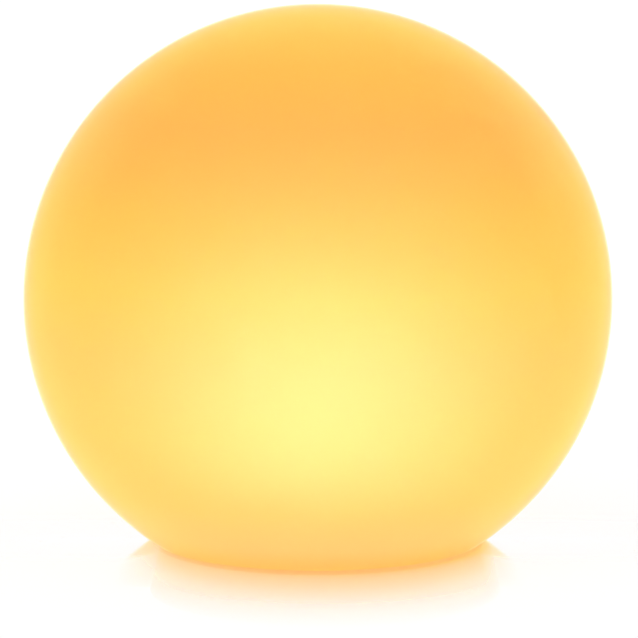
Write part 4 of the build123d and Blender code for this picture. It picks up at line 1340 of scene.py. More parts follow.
def rounded(corners: Outline, sizes: Sequence[float]) -> Outline:
    """Rounds the corners of an open profile.

    Args:
        corners: the profile's points.
        sizes: radius at each corner, 0 for a sharp one and at both ends.

    Returns:
        The rounded profile.
    """
    points: Outline = []
    for k, (corner, size) in enumerate(zip(corners, sizes)):
        if not size:
            points.append(corner)
            continue
        here = Vector(corner)
        back = (Vector(corners[k - 1]) - here).normalized()
        ahead = (Vector(corners[k + 1]) - here).normalized()
        half = back.angle(ahead) / 2
        start = here + back * (size / math.tan(half))
        end = here + ahead * (size / math.tan(half))
        middle = here + (back + ahead).normalized() * (size / math.sin(half))
        for step in range(BEND_STEPS + 1):
            way = (start - middle).slerp(end - middle, step / BEND_STEPS).normalized()
            points.append(tuple(middle + way * size))
    return points


def place(obj: Object, body: str, slot: str, *nodes: str) -> None:
    """Hands a finished piece to its body and hides the solids it stands for.

    Args:
        obj: the piece.
        body: the body it rides on.
        slot: not used.
        *nodes: the CAD nodes that it replaces, if any.
    """
    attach(obj, body)
    if nodes:
        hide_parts(*nodes)
    log.info("%s: %d faces on %s", obj.name, len(obj.data.polygons), body)


# --- Globe ---


@dataclass
class OpalGlobe:
    """The blown glass globe with its flat foot and re-entrant neck. Sizes in millimetres."""

    radius: float = 125.0
    wall: float = 3.5
    floor: float = 4.0
    foot_radius: float = 70.5
    foot_gap: float = 0.8
    foot_round: float = 2.0
    neck_radius: float = 60.0
    neck_height: float = 15.0
    neck_round: float = 1.4
    inner_round: float = 2.6
    arc_steps: int = 110
    bend_steps: int = 8
    segments: int = 256
    finish: Finish = OPAL_GLASS

    @property
    def centre(self) -> float:
        """Height of the sphere's centre."""
        return self.foot_gap + math.sqrt(self.radius**2 - self.foot_radius**2)

    def wall_arc(self, radius: float, low: float, crease: float, top_first: bool) -> Outline:
        """One wall of the sphere, from its pole to the rounding at its foot.

        Args:
            radius: of the wall.
            low: height at which the wall would meet the flat.
            crease: radius of the rounding there, inside the sphere.
            top_first: runs from the pole down if true.

        Returns:
            The points of the wall and its rounding down to the flat.
        """
        drop = self.centre - low
        inward = radius - crease
        reach = math.sqrt(inward**2 - (drop - crease) ** 2)
        touch = math.degrees(math.atan2(-(drop - crease), reach))
        down = arc((0.0, self.centre), radius, 90.0, touch, self.arc_steps)
        bend = arc((reach, low + crease), crease, touch, -90.0, self.bend_steps)[1:]
        points = down + bend
        points[0] = (0.0, self.centre + radius)
        return points if top_first else points[::-1]

    def shell(self) -> Object:
        """Turns the shell's one profile, from the outer pole round the neck to the inner one.

        Returns:
            The shell.
        """
        outer = self.wall_arc(self.radius, self.foot_gap, self.foot_round, True)
        inner_low = self.foot_gap + self.floor
        inner = self.wall_arc(self.radius - self.wall, inner_low, self.inner_round, False)
        neck_top = self.foot_gap + self.neck_height
        neck_outer = self.neck_radius + self.wall
        neck = rounded(
            [
                outer[-1],
                (self.neck_radius, self.foot_gap),
                (self.neck_radius, neck_top),
                (neck_outer, neck_top),
                (neck_outer, inner_low),
                inner[0],
            ],
            [0.0, self.neck_round / 2, self.neck_round, self.neck_round, self.inner_round, 0.0],
        )
        profile = outer + neck[1:-1] + inner
        lining = len(outer) + len(neck) - 2
        return turned("opal_globe", profile, self.finish, self.segments, INNER_WALL, lining)

    def build(self) -> None:
        """Makes the globe and stands it in for its solid."""
        place(self.shell(), "globe", "opal_glass", "globe_shell")


# --- Light engine ---


@dataclass
class LightDome:
    """The lit opal dome over the LED tower. Sizes in millimetres.

    Attributes:
        radius: of the dome.
        wall: thickness.
        seat: height of the flange's foot.
        shoulder: height at which the straight skirt ends.
        flange_radius: of the flange.
        flange: thickness of the flange.
        roundings: radius at each corner from the skirt round the flange to the bore.
        steps: runs from the shoulder to the pole.
    """

    radius: float = 30.0
    wall: float = 1.6
    seat: float = 41.3
    shoulder: float = 54.0
    flange_radius: float = 38.0
    flange: float = 1.8
    roundings: tuple[float, ...] = (0.0, 0.8, 0.5, 0.2, 0.3, 0.0)
    steps: int = 28
    finish: Finish = LIT_DOME

    def build(self) -> None:
        """Turns the dome and stands it in for its solid."""
        bore = self.radius - self.wall
        over = arc((0.0, self.shoulder), self.radius, 90.0, 0.0, self.steps)
        under = arc((0.0, self.shoulder), bore, 0.0, 90.0, self.steps)
        over[0] = (0.0, over[0][1])
        under[-1] = (0.0, under[-1][1])
        skirt = rounded(
            [
                over[-1],
                (self.radius, self.seat + self.flange),
                (self.flange_radius, self.seat + self.flange),
                (self.flange_radius, self.seat),
                (bore, self.seat),
                under[0],
            ],
            self.roundings,
        )
        dome = turned("light_dome", over + skirt[1:-1] + under, self.finish)
        place(dome, "base", "opal_acrylic", "lamp_diffuser")


@dataclass
class Reflector:
    """White reflector skirt with fine steps that spread the light. Sizes in millimetres.

    Attributes:
        bore: radius of the hole that the dome stands in.
        radius: of the rim.
        wall: thickness.
        shoulder: height of the under face at the bore.
        deck: height of the rim's foot.
        land: width of the flat face round the bore.
        brim: height of the slope's foot over the deck.
        edge: cut at the upper edge of the bore.
        brim_edge: corners of the edge at the slope's foot, out and up from it.
        rim: height of the rim's plain foot.
        rim_cut: cut at that foot's lower edge.
        hollow: height of the hollow just inside the rim.
        throat: width of the flat under face round the bore.
        steps: number of steps down the slope.
        step_depth: depth of a step.
        step_form: shares of a step's run and depth at each corner of its profile.
    """

    bore: float = 31.0
    radius: float = 49.6
    wall: float = 1.3
    shoulder: float = 46.5
    deck: float = 37.5
    land: float = 7.7
    brim: float = 3.4
    edge: float = 0.35
    brim_edge: Form = ((-0.15, 0.05), (0.0, -0.25))
    rim: float = 2.0
    rim_cut: float = 0.6
    hollow: float = 2.6
    throat: float = 7.2
    steps: int = 12
    step_depth: float = 0.16
    step_form: Form = ((0.0, 0.0), (0.62, 0.0), (0.74, 1.0), (0.98, 1.0))
    finish: Finish = WHITE_REFLECTOR

    def build(self) -> None:
        """Turns the skirt and stands it in for its solid."""
        top = self.shoulder + self.wall
        crest = (self.bore + self.land, top)
        brim = (self.radius, self.deck + self.brim)
        slope: Outline = []
        for step in range(self.steps):
            for share, depth in self.step_form:
                way = (step + share) / self.steps
                drop = self.step_depth * depth
                r = crest[0] + (brim[0] - crest[0]) * way
                z = crest[1] + (brim[1] - crest[1]) * way
                slope.append((r - drop * 0.5, z - drop))
        profile = [
            (self.bore, self.shoulder),
            (self.bore, top - self.edge),
            (self.bore + self.edge, top),
            *slope,
            *[(brim[0] + out, brim[1] + up) for out, up in self.brim_edge],
            (self.radius, self.deck + self.rim),
            (self.radius - self.rim_cut, self.deck),
            (self.radius - self.wall, self.deck),
            (self.radius - self.wall, self.deck + self.hollow),
            (self.bore + self.throat, self.shoulder),
            (self.bore, self.shoulder),
        ]
        skirt = turned("reflector_skirt", profile, self.finish, 160)
        place(skirt, "base", "white_reflector", "reflector")


@dataclass
class LedTower:
    """LED packages round the eight-sided tower and on its top. Sizes in millimetres.

    Attributes:
        face: distance of a side's board from the axis.
        height: of a package.
        length: of a package, up the tower.
        width: of a package.
        corner: cut off a package's corners.
        bevel: of its face.
        window: radius of its window.
        window_depth: how far the window lies in.
        middle: height of the middle package of a side.
        pitch: between a side's packages.
        sides: number of sides.
        top: height of the top board's face.
        crown: distance of the outer packages on top from the axis.
        crown_turn: angle of the first of them, in degrees.
        crown_count: number of them.
    """

    face: float = 15.0
    height: float = 0.8
    length: float = 3.5
    width: float = 2.8
    corner: float = 0.25
    bevel: float = 0.12
    window: float = 1.0
    window_depth: float = 0.15
    middle: float = 54.0
    pitch: float = 7.0
    sides: int = 8
    top: float = 67.5
    crown: float = 6.4
    crown_turn: float = 67.5
    crown_count: int = 4

    def case(self, by: float, out: float) -> list[Point]:
        """One level of a package's case: a rectangle with cut corners.

        Args:
            by: how far it is drawn in.
            out: how far out of the board it lies.

        Returns:
            Its corners and the middles of its sides.
        """
        u, v, c = self.length / 2 - by, self.width / 2 - by, self.corner
        quarter = [(u, v - c), (u - c, v), (c - u, v), (-u, v - c)]
        corners = quarter + [(-a, -b) for a, b in quarter]
        loop: list[Point] = []
        for (a, b), (next_a, next_b) in zip(corners, corners[1:] + corners[:1]):
            loop += [(a, b, out), ((a + next_a) / 2, (b + next_b) / 2, out)]
        return loop

    def circle(self, radius: float, out: float) -> list[Point]:
        """A circle whose points answer the case's, at a distance out of the board."""
        angles = [math.atan2(v, u) for u, v, _ in self.case(0.0, out)]
        return [(radius * math.cos(a), radius * math.sin(a), out) for a in angles]

    def loops(self) -> list[list[Point]]:
        """Levels of one package, from the board up and in to its window.

        Returns:
            The levels, each across U and V and out along W.
        """
        return [
            self.case(0.0, 0.0),
            self.case(0.0, self.height - self.bevel),
            self.case(self.bevel, self.height),
            self.circle(self.window + self.bevel, self.height),
            self.circle(self.window, self.height - self.window_depth),
        ]

    def side_leds(self) -> None:
        """Three packages on each side of the tower."""
        packages = []
        for step in (-1, 0, 1):
            up = self.middle + step * self.pitch
            loops = [[(self.face + w, -v, up + u) for u, v, w in loop] for loop in self.loops()]
            packages.append(stack(f"led_{step + 1}", loops, True))
        row, values = joined("led_row", packages), ring_of(self.sides)
        leds = set_out("tower_leds", row, Layout.RING, values, LED_PACKAGE, LED_WINDOW)
        place(leds, "base", "led_phosphor", "side_leds")

    def top_led(self, name: str, spot: Spot, angle: float) -> Object:
        """One package on top of the tower.

        Args:
            name: of the package.
            spot: its middle.
            angle: by which it is turned, in degrees.

        Returns:
            The package.
        """
        cos, sin = math.cos(math.radians(angle)), math.sin(math.radians(angle))
        loops = [
            [
                (spot[0] + u * cos - v * sin, spot[1] + u * sin + v * cos, self.top + w)
                for u, v, w in loop
            ]
            for loop in self.loops()
        ]
        return stack(name, loops, True)

    def top_leds(self) -> None:
        """One package in the middle of the top and the others round it."""
        pieces = [self.top_led("led_middle", (0.0, 0.0), 0.0)]
        for k in range(self.crown_count):
            angle = self.crown_turn + 360.0 / self.crown_count * k
            pieces.append(self.top_led(f"led_corner_{k}", polar_spot(self.crown, angle), angle))
        crown, values = joined("led_crown", pieces), ring_of(1)
        leds = set_out("crown_leds", crown, Layout.RING, values, LED_PACKAGE, LED_WINDOW)
        place(leds, "base", "led_phosphor", "top_leds")

    def build(self) -> None:
        """Makes every package."""
        self.side_leds()
        self.top_leds()


# --- Screws ---


@dataclass
class Screws:
    """A set of six-lobe screws that stands in for its solid. Sizes in millimetres.

    Attributes:
        name: of the set.
        node: the solid it replaces.
        layout: ring or grid.
        values: sizes of the layout.
        bearing: height of the head's bearing face.
        head: radius of the head.
        rise: height of the head.
        shank: radius of the thread's crest.
        length: of the shank.
        upward: true where the shank points up.
        pitch: of the thread.
        drive: radius, depth and lobe height of the drive's corners, in a head of drive_head.
        drive_head: radius of that head.
        crown: radius and height of the corners round the drive, as shares of the head's.
        edge: cut at the head's lower edge.
        neck: radius under the head, as a share of the shank's.
        turn_rows: rings of points in a turn of the thread.
        plain: length without thread at both ends.
        groove: depth of the thread, as a share of the shank's radius.
    """

    name: str
    node: str
    layout: Layout
    values: dict[str, float]
    bearing: float
    head: float = 2.8
    rise: float = 1.8
    shank: float = 1.45
    length: float = 9.0
    upward: bool = True
    pitch: float = 1.1
    drive: tuple[Point, ...] = (
        (0.0, 1.05, 0.0),
        (0.95, 1.02, 0.16),
        (1.16, 0.96, 0.20),
        (1.20, 0.14, 0.21),
        (1.30, 0.02, 0.22),
        (1.62, 0.0, 0.05),
    )
    drive_head: float = 2.8
    crown: Form = ((0.70, 1.0), (0.88, 0.86), (0.97, 0.64), (1.0, 0.42))
    edge: float = 0.12
    neck: float = 1.12
    turn_rows: int = 7
    plain: float = 0.7
    groove: float = 0.2

    def profile(self) -> list[Point]:
        """Draws one screw from its drive's floor over the head to the tip.

        Returns:
            Radius, height over the bearing face and lobe height of each point.
        """
        h, k = self.rise, self.head / self.drive_head
        drive = [(r * k, -h + down * k, lobe * k) for r, down, lobe in self.drive]
        crown = [(self.head * r, -h * up, 0.0) for r, up in self.crown]
        under = [
            (self.head, -self.edge, 0.0),
            (self.head - self.edge, 0.0, 0.0),
            (self.shank * self.neck, 0.0, 0.0),
            (self.shank, 0.15, 0.0),
        ]
        rows = int((self.length - 2.0 * self.plain) / self.pitch * self.turn_rows)
        shaft = [(self.shank, 0.3 + (self.length - 1.6) * k / rows, 0.0) for k in range(rows + 1)]
        tip = [
            (self.shank * 0.72, self.length - 0.55, 0.0),
            (self.shank * 0.5, self.length, 0.0),
            (0.0, self.length, 0.0),
        ]
        return drive + crown + under + shaft + tip

    def build(self) -> None:
        """Turns one screw and sets it out."""
        way = 1.0 if self.upward else -1.0
        profile = [(r, self.bearing + way * z, lobe) for r, z, lobe in self.profile()]
        if self.upward:
            profile.reverse()
        far = self.length - self.plain
        low, high = sorted((self.bearing + way * self.plain, self.bearing + way * far))
        thread = Thread(low, high, self.pitch, self.shank * self.groove)
        screw = turned(f"{self.name}_pattern", profile, STEEL, 36, thread=thread)
        values = {**self.values, "Spin": 6.0, "Seed": len(self.name)}
        made = set_out(self.name, screw, self.layout, values, STEEL)
        place(made, "base", "stainless_steel", self.node)


def all_screws() -> list[Screws]:
    """Every set of screws in the lamp.

    Returns:
        The sets, from the cover up to the tower's top.
    """
    board = {**ring_of(4, 36.5, 30.0), "In Group": 2, "Step": 120.0, "Group Step": 180.0}
    straps = {"Count": 4, "Columns": 2, "Pitch X": 32.0 * MM, "Pitch Y": 46.8 * MM}
    return [
        Screws("foot_cover_screws", "cover_screws", Layout.RING, ring_of(6, 36.5, 0.0), 3.1),
        Screws(
            "light_engine_screws", "engine_screws", Layout.RING, ring_of(4, 34.0, 45.0), 43.1,
            rise=1.7, length=13.0, upward=False,
        ),
        Screws(
            "circuit_board_screws", "board_screws", Layout.RING, board, 13.3,
            head=2.2, rise=1.5, shank=1.2, length=7.5, upward=False, pitch=0.9,
        ),
        Screws("cell_strap_screws", "strap_screws", Layout.GRID, straps, 17.6, rise=1.6),
        Screws(
            "tower_top_screws", "top_board_screws", Layout.RING, ring_of(2, 10.6, 22.5), 67.5,
            head=1.9, rise=1.2, shank=1.05, length=6.0, upward=False, pitch=0.8,
        ),
    ]


# --- Underside ---


@dataclass
class FootRing:
    """Black silicone foot ring with fine tread rings. Sizes in millimetres.

    Attributes:
        inner: inner radius.
        outer: outer radius.
        top: height of its upper face.
        corner: radius of its two lower corners.
        treads: number of lands between its corners.
        depth: depth of the grooves between them.
        land: corners of each land's flat, as shares of the pitch and of the depth.
        groove: corners of the groove that follows it.
    """

    inner: float = 42.0
    outer: float = 47.0
    top: float = 1.4
    corner: float = 0.5
    treads: int = 5
    depth: float = 0.35
    land: Form = ((0.0, 0.0), (0.42, 0.0))
    groove: Form = ((0.52, 0.8), (0.62, 1.0), (0.82, 1.0), (0.92, 0.8))

    def build(self) -> None:
        """Turns the ring and stands it in for its solid."""
        tread: Outline = []
        first, last = self.outer - self.corner, self.inner + self.corner
        pitch = (first - last) / self.treads
        for k in range(self.treads):
            form = self.land + self.groove if k < self.treads - 1 else self.land
            tread += [(first - k * pitch - pitch * run, self.depth * up) for run, up in form]
        edge = arc((first, self.corner), self.corner, 0.0, -90.0, 5)
        heel = arc((last, self.corner), self.corner, -90.0, -180.0, 5)
        profile = [(self.inner, self.top), (self.outer, self.top)] + edge[:-1] + tread + heel
        profile.append((self.inner, self.top))
        ring = turned("tread_foot_ring", profile, BLACK_SILICONE, 224)
        place(ring, "base", "black_silicone", "foot_ring")


@dataclass
class RingGrips:
    """Grip ribs and turn marks under the locking ring. Sizes in millimetres.

    Attributes:
        face: height of the ring's under face.
        inner: inner radius of that face.
        outer: outer radius of that face.
        clear: plain edge at both ends of a rib.
        width: of a rib.
        rise: how far the ribs stand out.
        rib_bevel: of the ribs.
        groups: number of groups of ribs, of arrows and of dots.
        in_group: ribs in a group.
        first: angle of the first rib, in degrees.
        step: angle between ribs.
        middle: radius that the marks lie on.
        mark_rise: how far the marks stand out.
        bevel: of the marks.
        line: width of the arrow's line.
        arrow: angles of the line's start and end, the head's foot and its tip.
        barb: how far the head's corners stand to its sides.
        dot: radius of the dot.
        dot_at: angle of the dot.
    """

    face: float = 1.0
    inner: float = 49.7
    outer: float = 53.9
    clear: float = 0.4
    width: float = 0.8
    rise: float = 0.28
    rib_bevel: float = 0.18
    groups: int = 3
    in_group: int = 15
    first: float = 2.0
    step: float = 4.0
    middle: float = 51.8
    mark_rise: float = 0.16
    bevel: float = 0.12
    line: float = 0.7
    arrow: tuple[float, float, float, float] = (108.0, 112.2, 112.0, 114.4)
    barb: float = 1.25
    dot: float = 0.9
    dot_at: float = 69.0

    def ribs(self) -> None:
        """Groups of radial ribs between the finger recesses."""
        ends = (self.inner + self.clear, 0.0), (self.outer - self.clear, 0.0)
        bar = straight_bar(*ends, self.width)
        rib = plate("grip_rib", bar, self.face + SUNK, self.face - self.rise, self.rib_bevel)
        values = {
            **ring_of(self.groups * self.in_group, first=self.first),
            "In Group": self.in_group,
            "Step": self.step,
            "Group Step": 360.0 / self.groups,
        }
        made = set_out("ring_grip_ribs", rib, Layout.RING, values, GREY_PLASTIC)
        place(made, "lock_ring", "grey_polycarbonate")

    def marks(self) -> None:
        """An arrow that leads the ring open, by each recess, and a dot at its other side."""
        start, end, foot, tip_angle = self.arrow
        line = ring_bar(self.middle, self.line, start, end, 10)
        at, tip = polar_spot(self.middle, foot), polar_spot(self.middle, tip_angle)
        ahead = (Vector(tip) - Vector(at)).normalized()
        side = Vector((-ahead.y, ahead.x)) * self.barb
        head = [tuple(Vector(at) - side), tip, tuple(Vector(at) + side)]
        dot = arc(polar_spot(self.middle, self.dot_at), self.dot, 0.0, 360.0, 20)[:-1]
        pieces = [
            plate(name, outline, self.face + SUNK, self.face - self.mark_rise, self.bevel)
            for name, outline in (("arrow_line", line), ("arrow_head", head), ("arrow_dot", dot))
        ]
        mark = joined("turn_mark", pieces)
        made = set_out("ring_turn_marks", mark, Layout.RING, ring_of(self.groups), MARK_WHITE)
        place(made, "lock_ring", "silicone_white")

    def build(self) -> None:
        """Makes the ribs and the marks."""
        self.ribs()
        self.marks()


@dataclass
class CollarMarks:
    """Small pointers under the collar where the module's keys go in. Sizes in millimetres."""

    face: float = 1.0
    inner: float = 56.4
    outer: float = 58.8
    half: float = 1.4
    rise: float = 0.15
    bevel: float = 0.12
    count: int = 3
    first: float = 30.0

    def build(self) -> None:
        """Makes the pointers."""
        outline = [(self.inner, 0.0), (self.outer, -self.half), (self.outer, self.half)]
        foot, face = self.face + SUNK, self.face - self.rise
        pointer = plate("pointer", outline, foot, face, self.bevel)
        values = ring_of(self.count, first=self.first)
        made = set_out("collar_pointers", pointer, Layout.RING, values, MARK_WHITE)
        place(made, "globe", "silicone_white")


@dataclass
class CoverTrim:
    """Raised bead and fine tick marks round the button. Sizes in millimetres.

    Attributes:
        face: height of the cover's under face.
        bead: radius of the bead.
        half: half of its width.
        crest: half of the width of its flat.
        rise: how far it stands out.
        ticks: number of ticks.
        first: angle of the first, in degrees.
        tick_ends: distances of a tick's ends from the axis.
        tick_width: of a tick.
        tick_rise: how far a tick stands out.
        bevel: of the ticks.
    """

    face: float = 1.0
    bead: float = 9.4
    half: float = 0.5
    crest: float = 0.3
    rise: float = 0.2
    ticks: int = 36
    first: float = 5.0
    tick_ends: Spot = (11.2, 12.8)
    tick_width: float = 0.45
    tick_rise: float = 0.16
    bevel: float = 0.1

    def build(self) -> None:
        """Turns the bead and sets out the ticks."""
        z, r, half, crest = self.face, self.bead, self.half, self.crest
        profile = [
            (r - half, z + SUNK),
            (r + half, z + SUNK),
            (r + half, z),
            (r + crest, z - self.rise),
            (r - crest, z - self.rise),
            (r - half, z),
            (r - half, z + SUNK),
        ]
        bead = turned("button_bead", profile, GREY_PLASTIC, 96)
        place(bead, "base", "grey_polycarbonate")
        start, end = self.tick_ends
        bar = straight_bar((start, 0.0), (end, 0.0), self.tick_width)
        tick = plate("tick", bar, z + SUNK, z - self.tick_rise, self.bevel)
        values = ring_of(self.ticks, first=self.first)
        ticks = set_out("button_ticks", tick, Layout.RING, values, GREY_PLASTIC)
        place(ticks, "base", "grey_polycarbonate")


@dataclass
class PowerMark:
    """Raised on-off mark in the button's dish. Sizes in millimetres.

    Attributes:
        foot: height of its foot, sunk in the dish.
        face: height of its face.
        radius: of the ring's middle line.
        width: of the ring and of the bar.
        bevel: of both.
        ring_ends: angles between which the ring runs, in degrees.
        bar_ends: distances of the bar's ends from the middle.
    """

    foot: float = 1.95
    face: float = 1.52
    radius: float = 2.5
    width: float = 0.62
    bevel: float = 0.14
    ring_ends: Spot = (125.0, 415.0)
    bar_ends: Spot = (0.9, 3.1)

    def build(self) -> None:
        """Makes the broken ring and its bar."""
        ring = ring_bar(self.radius, self.width, *self.ring_ends, 48)
        low, high = self.bar_ends
        bar = straight_bar((0.0, low), (0.0, high), self.width)
        pieces = [
            plate(name, outline, self.foot, self.face, self.bevel)
            for name, outline in (("mark_ring", ring), ("mark_bar", bar))
        ]
        mark = dressed(joined("power_mark", pieces), MARK_WHITE)
        place(mark, "power_button", "silicone_white")


@dataclass
class InletMark:
    """Raised bolt on the charging flap, and grip lines by its nail nick. Sizes in millimetres.

    Attributes:
        face: height of the flap's under face.
        rise: how far the bolt and the lines stand out.
        bevel: of both.
        centre_y: place of the flap's middle.
        lines: grip lines at each side.
        line_from: distance of the first from the middle.
        line_pitch: distance between them.
        line_half: half of their length.
        line_width: of a line.
        bolt: corners of the bolt, from the middle.
    """

    face: float = 1.1
    rise: float = 0.14
    bevel: float = 0.1
    centre_y: float = -24.6
    lines: int = 3
    line_from: float = 3.6
    line_pitch: float = 0.9
    line_half: float = 1.6
    line_width: float = 0.4
    bolt: Form = (
        (-0.3, 2.1),
        (1.0, 2.1),
        (0.35, 0.5),
        (1.35, 0.5),
        (-0.75, -2.1),
        (-0.2, -0.3),
        (-1.3, -0.3),
    )

    def build(self) -> None:
        """Makes the bolt and the lines."""
        outlines = [[(x, y + self.centre_y) for x, y in self.bolt]]
        for side in (-1.0, 1.0):
            for k in range(self.lines):
                x = side * (self.line_from + self.line_pitch * k)
                ends = (x, self.centre_y - self.line_half), (x, self.centre_y + self.line_half)
                outlines.append(straight_bar(*ends, self.line_width))
        foot, face = self.face + SUNK, self.face - self.rise
        pieces = [plate("flap_line", outline, foot, face, self.bevel) for outline in outlines]
        mark = dressed(joined("flap_mark", pieces), BLACK_SILICONE)
        place(mark, "inlet_cap", "black_silicone")


@dataclass
class TubRibs:
    """Low upright ribs round the tub's wall. Sizes in millimetres.

    Attributes:
        radius: of the tub's wall.
        rise: how far a rib stands out of it.
        width: of a rib.
        low: height of its foot.
        high: height of its head.
        count: number of ribs.
        ends: distance from an end and share of the rise there, from the end inwards.
        bulge: share of half the width and of the rise across the rib, with a negative rise in
            millimetres, inside the wall.
    """

    radius: float = 50.4
    rise: float = 0.32
    width: float = 0.9
    low: float = 13.0
    high: float = 34.5
    count: int = 60
    ends: Form = ((0.0, 0.0), (0.5, 0.7), (1.2, 1.0))
    bulge: Form = ((-1.0, -0.25), (-0.7, 0.55), (0.0, 1.0), (0.7, 0.55), (1.0, -0.25))

    def level(self, height: float, share: float) -> list[Point]:
        """One level of a rib.

        Args:
            height: of the level.
            share: of the rise there.

        Returns:
            The points round the rib, two of them inside the wall.
        """
        half = self.width / 2
        front = [
            (self.radius + (self.rise * out * share if out > 0 else out), half * side, height)
            for side, out in self.bulge
        ]
        back = self.radius - 0.5
        return front + [(back, half, height), (back, -half, height)]

    def build(self) -> None:
        """Makes one rib and sets out the rest."""
        loops = [self.level(self.low + up, share) for up, share in self.ends]
        loops += [self.level(self.high - down, share) for down, share in reversed(self.ends)]
        rib, values = stack("tub_rib", loops), ring_of(self.count, first=3.0)
        made = set_out("tub_wall_ribs", rib, Layout.RING, values, WHITE_PLASTIC)
        place(made, "base", "white_polycarbonate")


# --- Studio ---


@dataclass
class MirrorFloor:
    """White floor that mirrors the lamp beside it and is clear from below. Sizes in metres.

    Attributes:
        foot_radius: of the globe's foot.
        half: half of the floor's side.
        skew: how far to the right the mirror's middle lies.
        reach: distance in front of the foot at which the mirror ends.
        fade: share of that distance and how much the floor mirrors there.
        roughness: of the mirror.
        far: distances from the axis between which the mirror fades out.
        beside: the same across X, where it is let go before and behind the foot.
        before: the same across Y, where it is let go beside the foot.
        brightness: of the white, over its matt share.
        matt: share of the white, next to the lamp, that takes its shadow and glow.
        matt_ends: distances from the axis between which that share fades out.
    """

    foot_radius: float
    half: float = 6.0
    skew: float = 0.003
    reach: float = 0.100
    fade: Form = (
        (0.00, 0.93),
        (0.10, 0.76),
        (0.28, 0.61),
        (0.45, 0.44),
        (0.62, 0.32),
        (0.79, 0.22),
        (0.95, 0.10),
        (1.00, 0.00),
    )
    roughness: float = 0.08
    far: Spot = (0.115, 0.190)
    beside: Spot = (0.068, 0.084)
    before: Spot = (0.032, 0.052)
    brightness: float = 1.035
    matt: float = 0.16
    matt_ends: Spot = (0.10, 0.34)

    def share(self, nodes: Nodes, where: NodeSocket) -> NodeSocket:
        """How much the floor mirrors at a point.

        Args:
            nodes: writer for the floor's material.
            where: the point's place on the floor.

        Returns:
            The share, from 0 to 1.
        """
        split = nodes.add("ShaderNodeSeparateXYZ", i0=where)
        across = nodes.math("SUBTRACT", split.outputs["X"], self.skew)
        foot = self.foot_radius
        rest = nodes.math("SUBTRACT", foot * foot, nodes.math("MULTIPLY", across, across))
        edge = nodes.math("SQRT", nodes.math("MAXIMUM", rest, 0.0))
        ahead = nodes.math("SUBTRACT", nodes.math("ABSOLUTE", split.outputs["Y"]), edge)
        level = nodes.math("DIVIDE", ahead, self.reach)
        fade = nodes.ramp(level, tuple((at, (w, w, w)) for at, w in self.fade), smooth=False)
        far = nodes.span(nodes.from_axis(where), self.far, (1.0, 0.0))
        beside, before = (
            nodes.span(nodes.math("ABSOLUTE", split.outputs[axis]), ends, (1.0, 0.0))
            for axis, ends in (("X", self.beside), ("Y", self.before))
        )
        near = nodes.math("MAXIMUM", beside, before)
        return nodes.math("MULTIPLY", nodes.math("MULTIPLY", fade, far), near)

    def material(self) -> Material:
        """Makes the floor's material.

        Returns:
            White from above, partly a mirror, and clear from below and to shadows.
        """
        material = bpy.data.materials.new("glossy white floor")
        material.use_nodes = True
        nodes = Nodes(material.node_tree)
        material.node_tree.nodes.remove(material.node_tree.nodes["Principled BSDF"])
        where = nodes.add("ShaderNodeTexCoord").outputs["Object"]
        white = (1.0, 1.0, 1.0, 1.0)
        bright = nodes.add("ShaderNodeEmission", Color=white, Strength=self.brightness)
        matt = nodes.add("ShaderNodeBsdfDiffuse", Color=white)
        shaded = nodes.span(nodes.from_axis(where), self.matt_ends, (self.matt, 0.0))
        plain = nodes.mix(shaded, bright, matt)
        mirror = nodes.add("ShaderNodeBsdfAnisotropic", Color=white)
        mirror.inputs["Roughness"].default_value = self.roughness
        seen = nodes.mix(self.share(nodes, where), plain, mirror)
        clear = nodes.add("ShaderNodeBsdfTransparent")
        below = nodes.add("ShaderNodeNewGeometry").outputs["Backfacing"]
        shadow = nodes.add("ShaderNodeLightPath").outputs["Is Shadow Ray"]
        nodes.surface(nodes.mix(nodes.math("MAXIMUM", below, shadow), seen, clear))
        return material

    def build(self) -> None:
        """Lays the floor."""
        edge = self.half
        corners = [(-edge, -edge, 0.0), (edge, -edge, 0.0), (edge, edge, 0.0), (-edge, edge, 0.0)]
        mesh = bpy.data.meshes.new("floor")
        mesh.from_pydata(corners, [], [(0, 1, 2, 3)])
        mesh.materials.append(self.material())
        link(bpy.data.objects.new("floor", mesh))


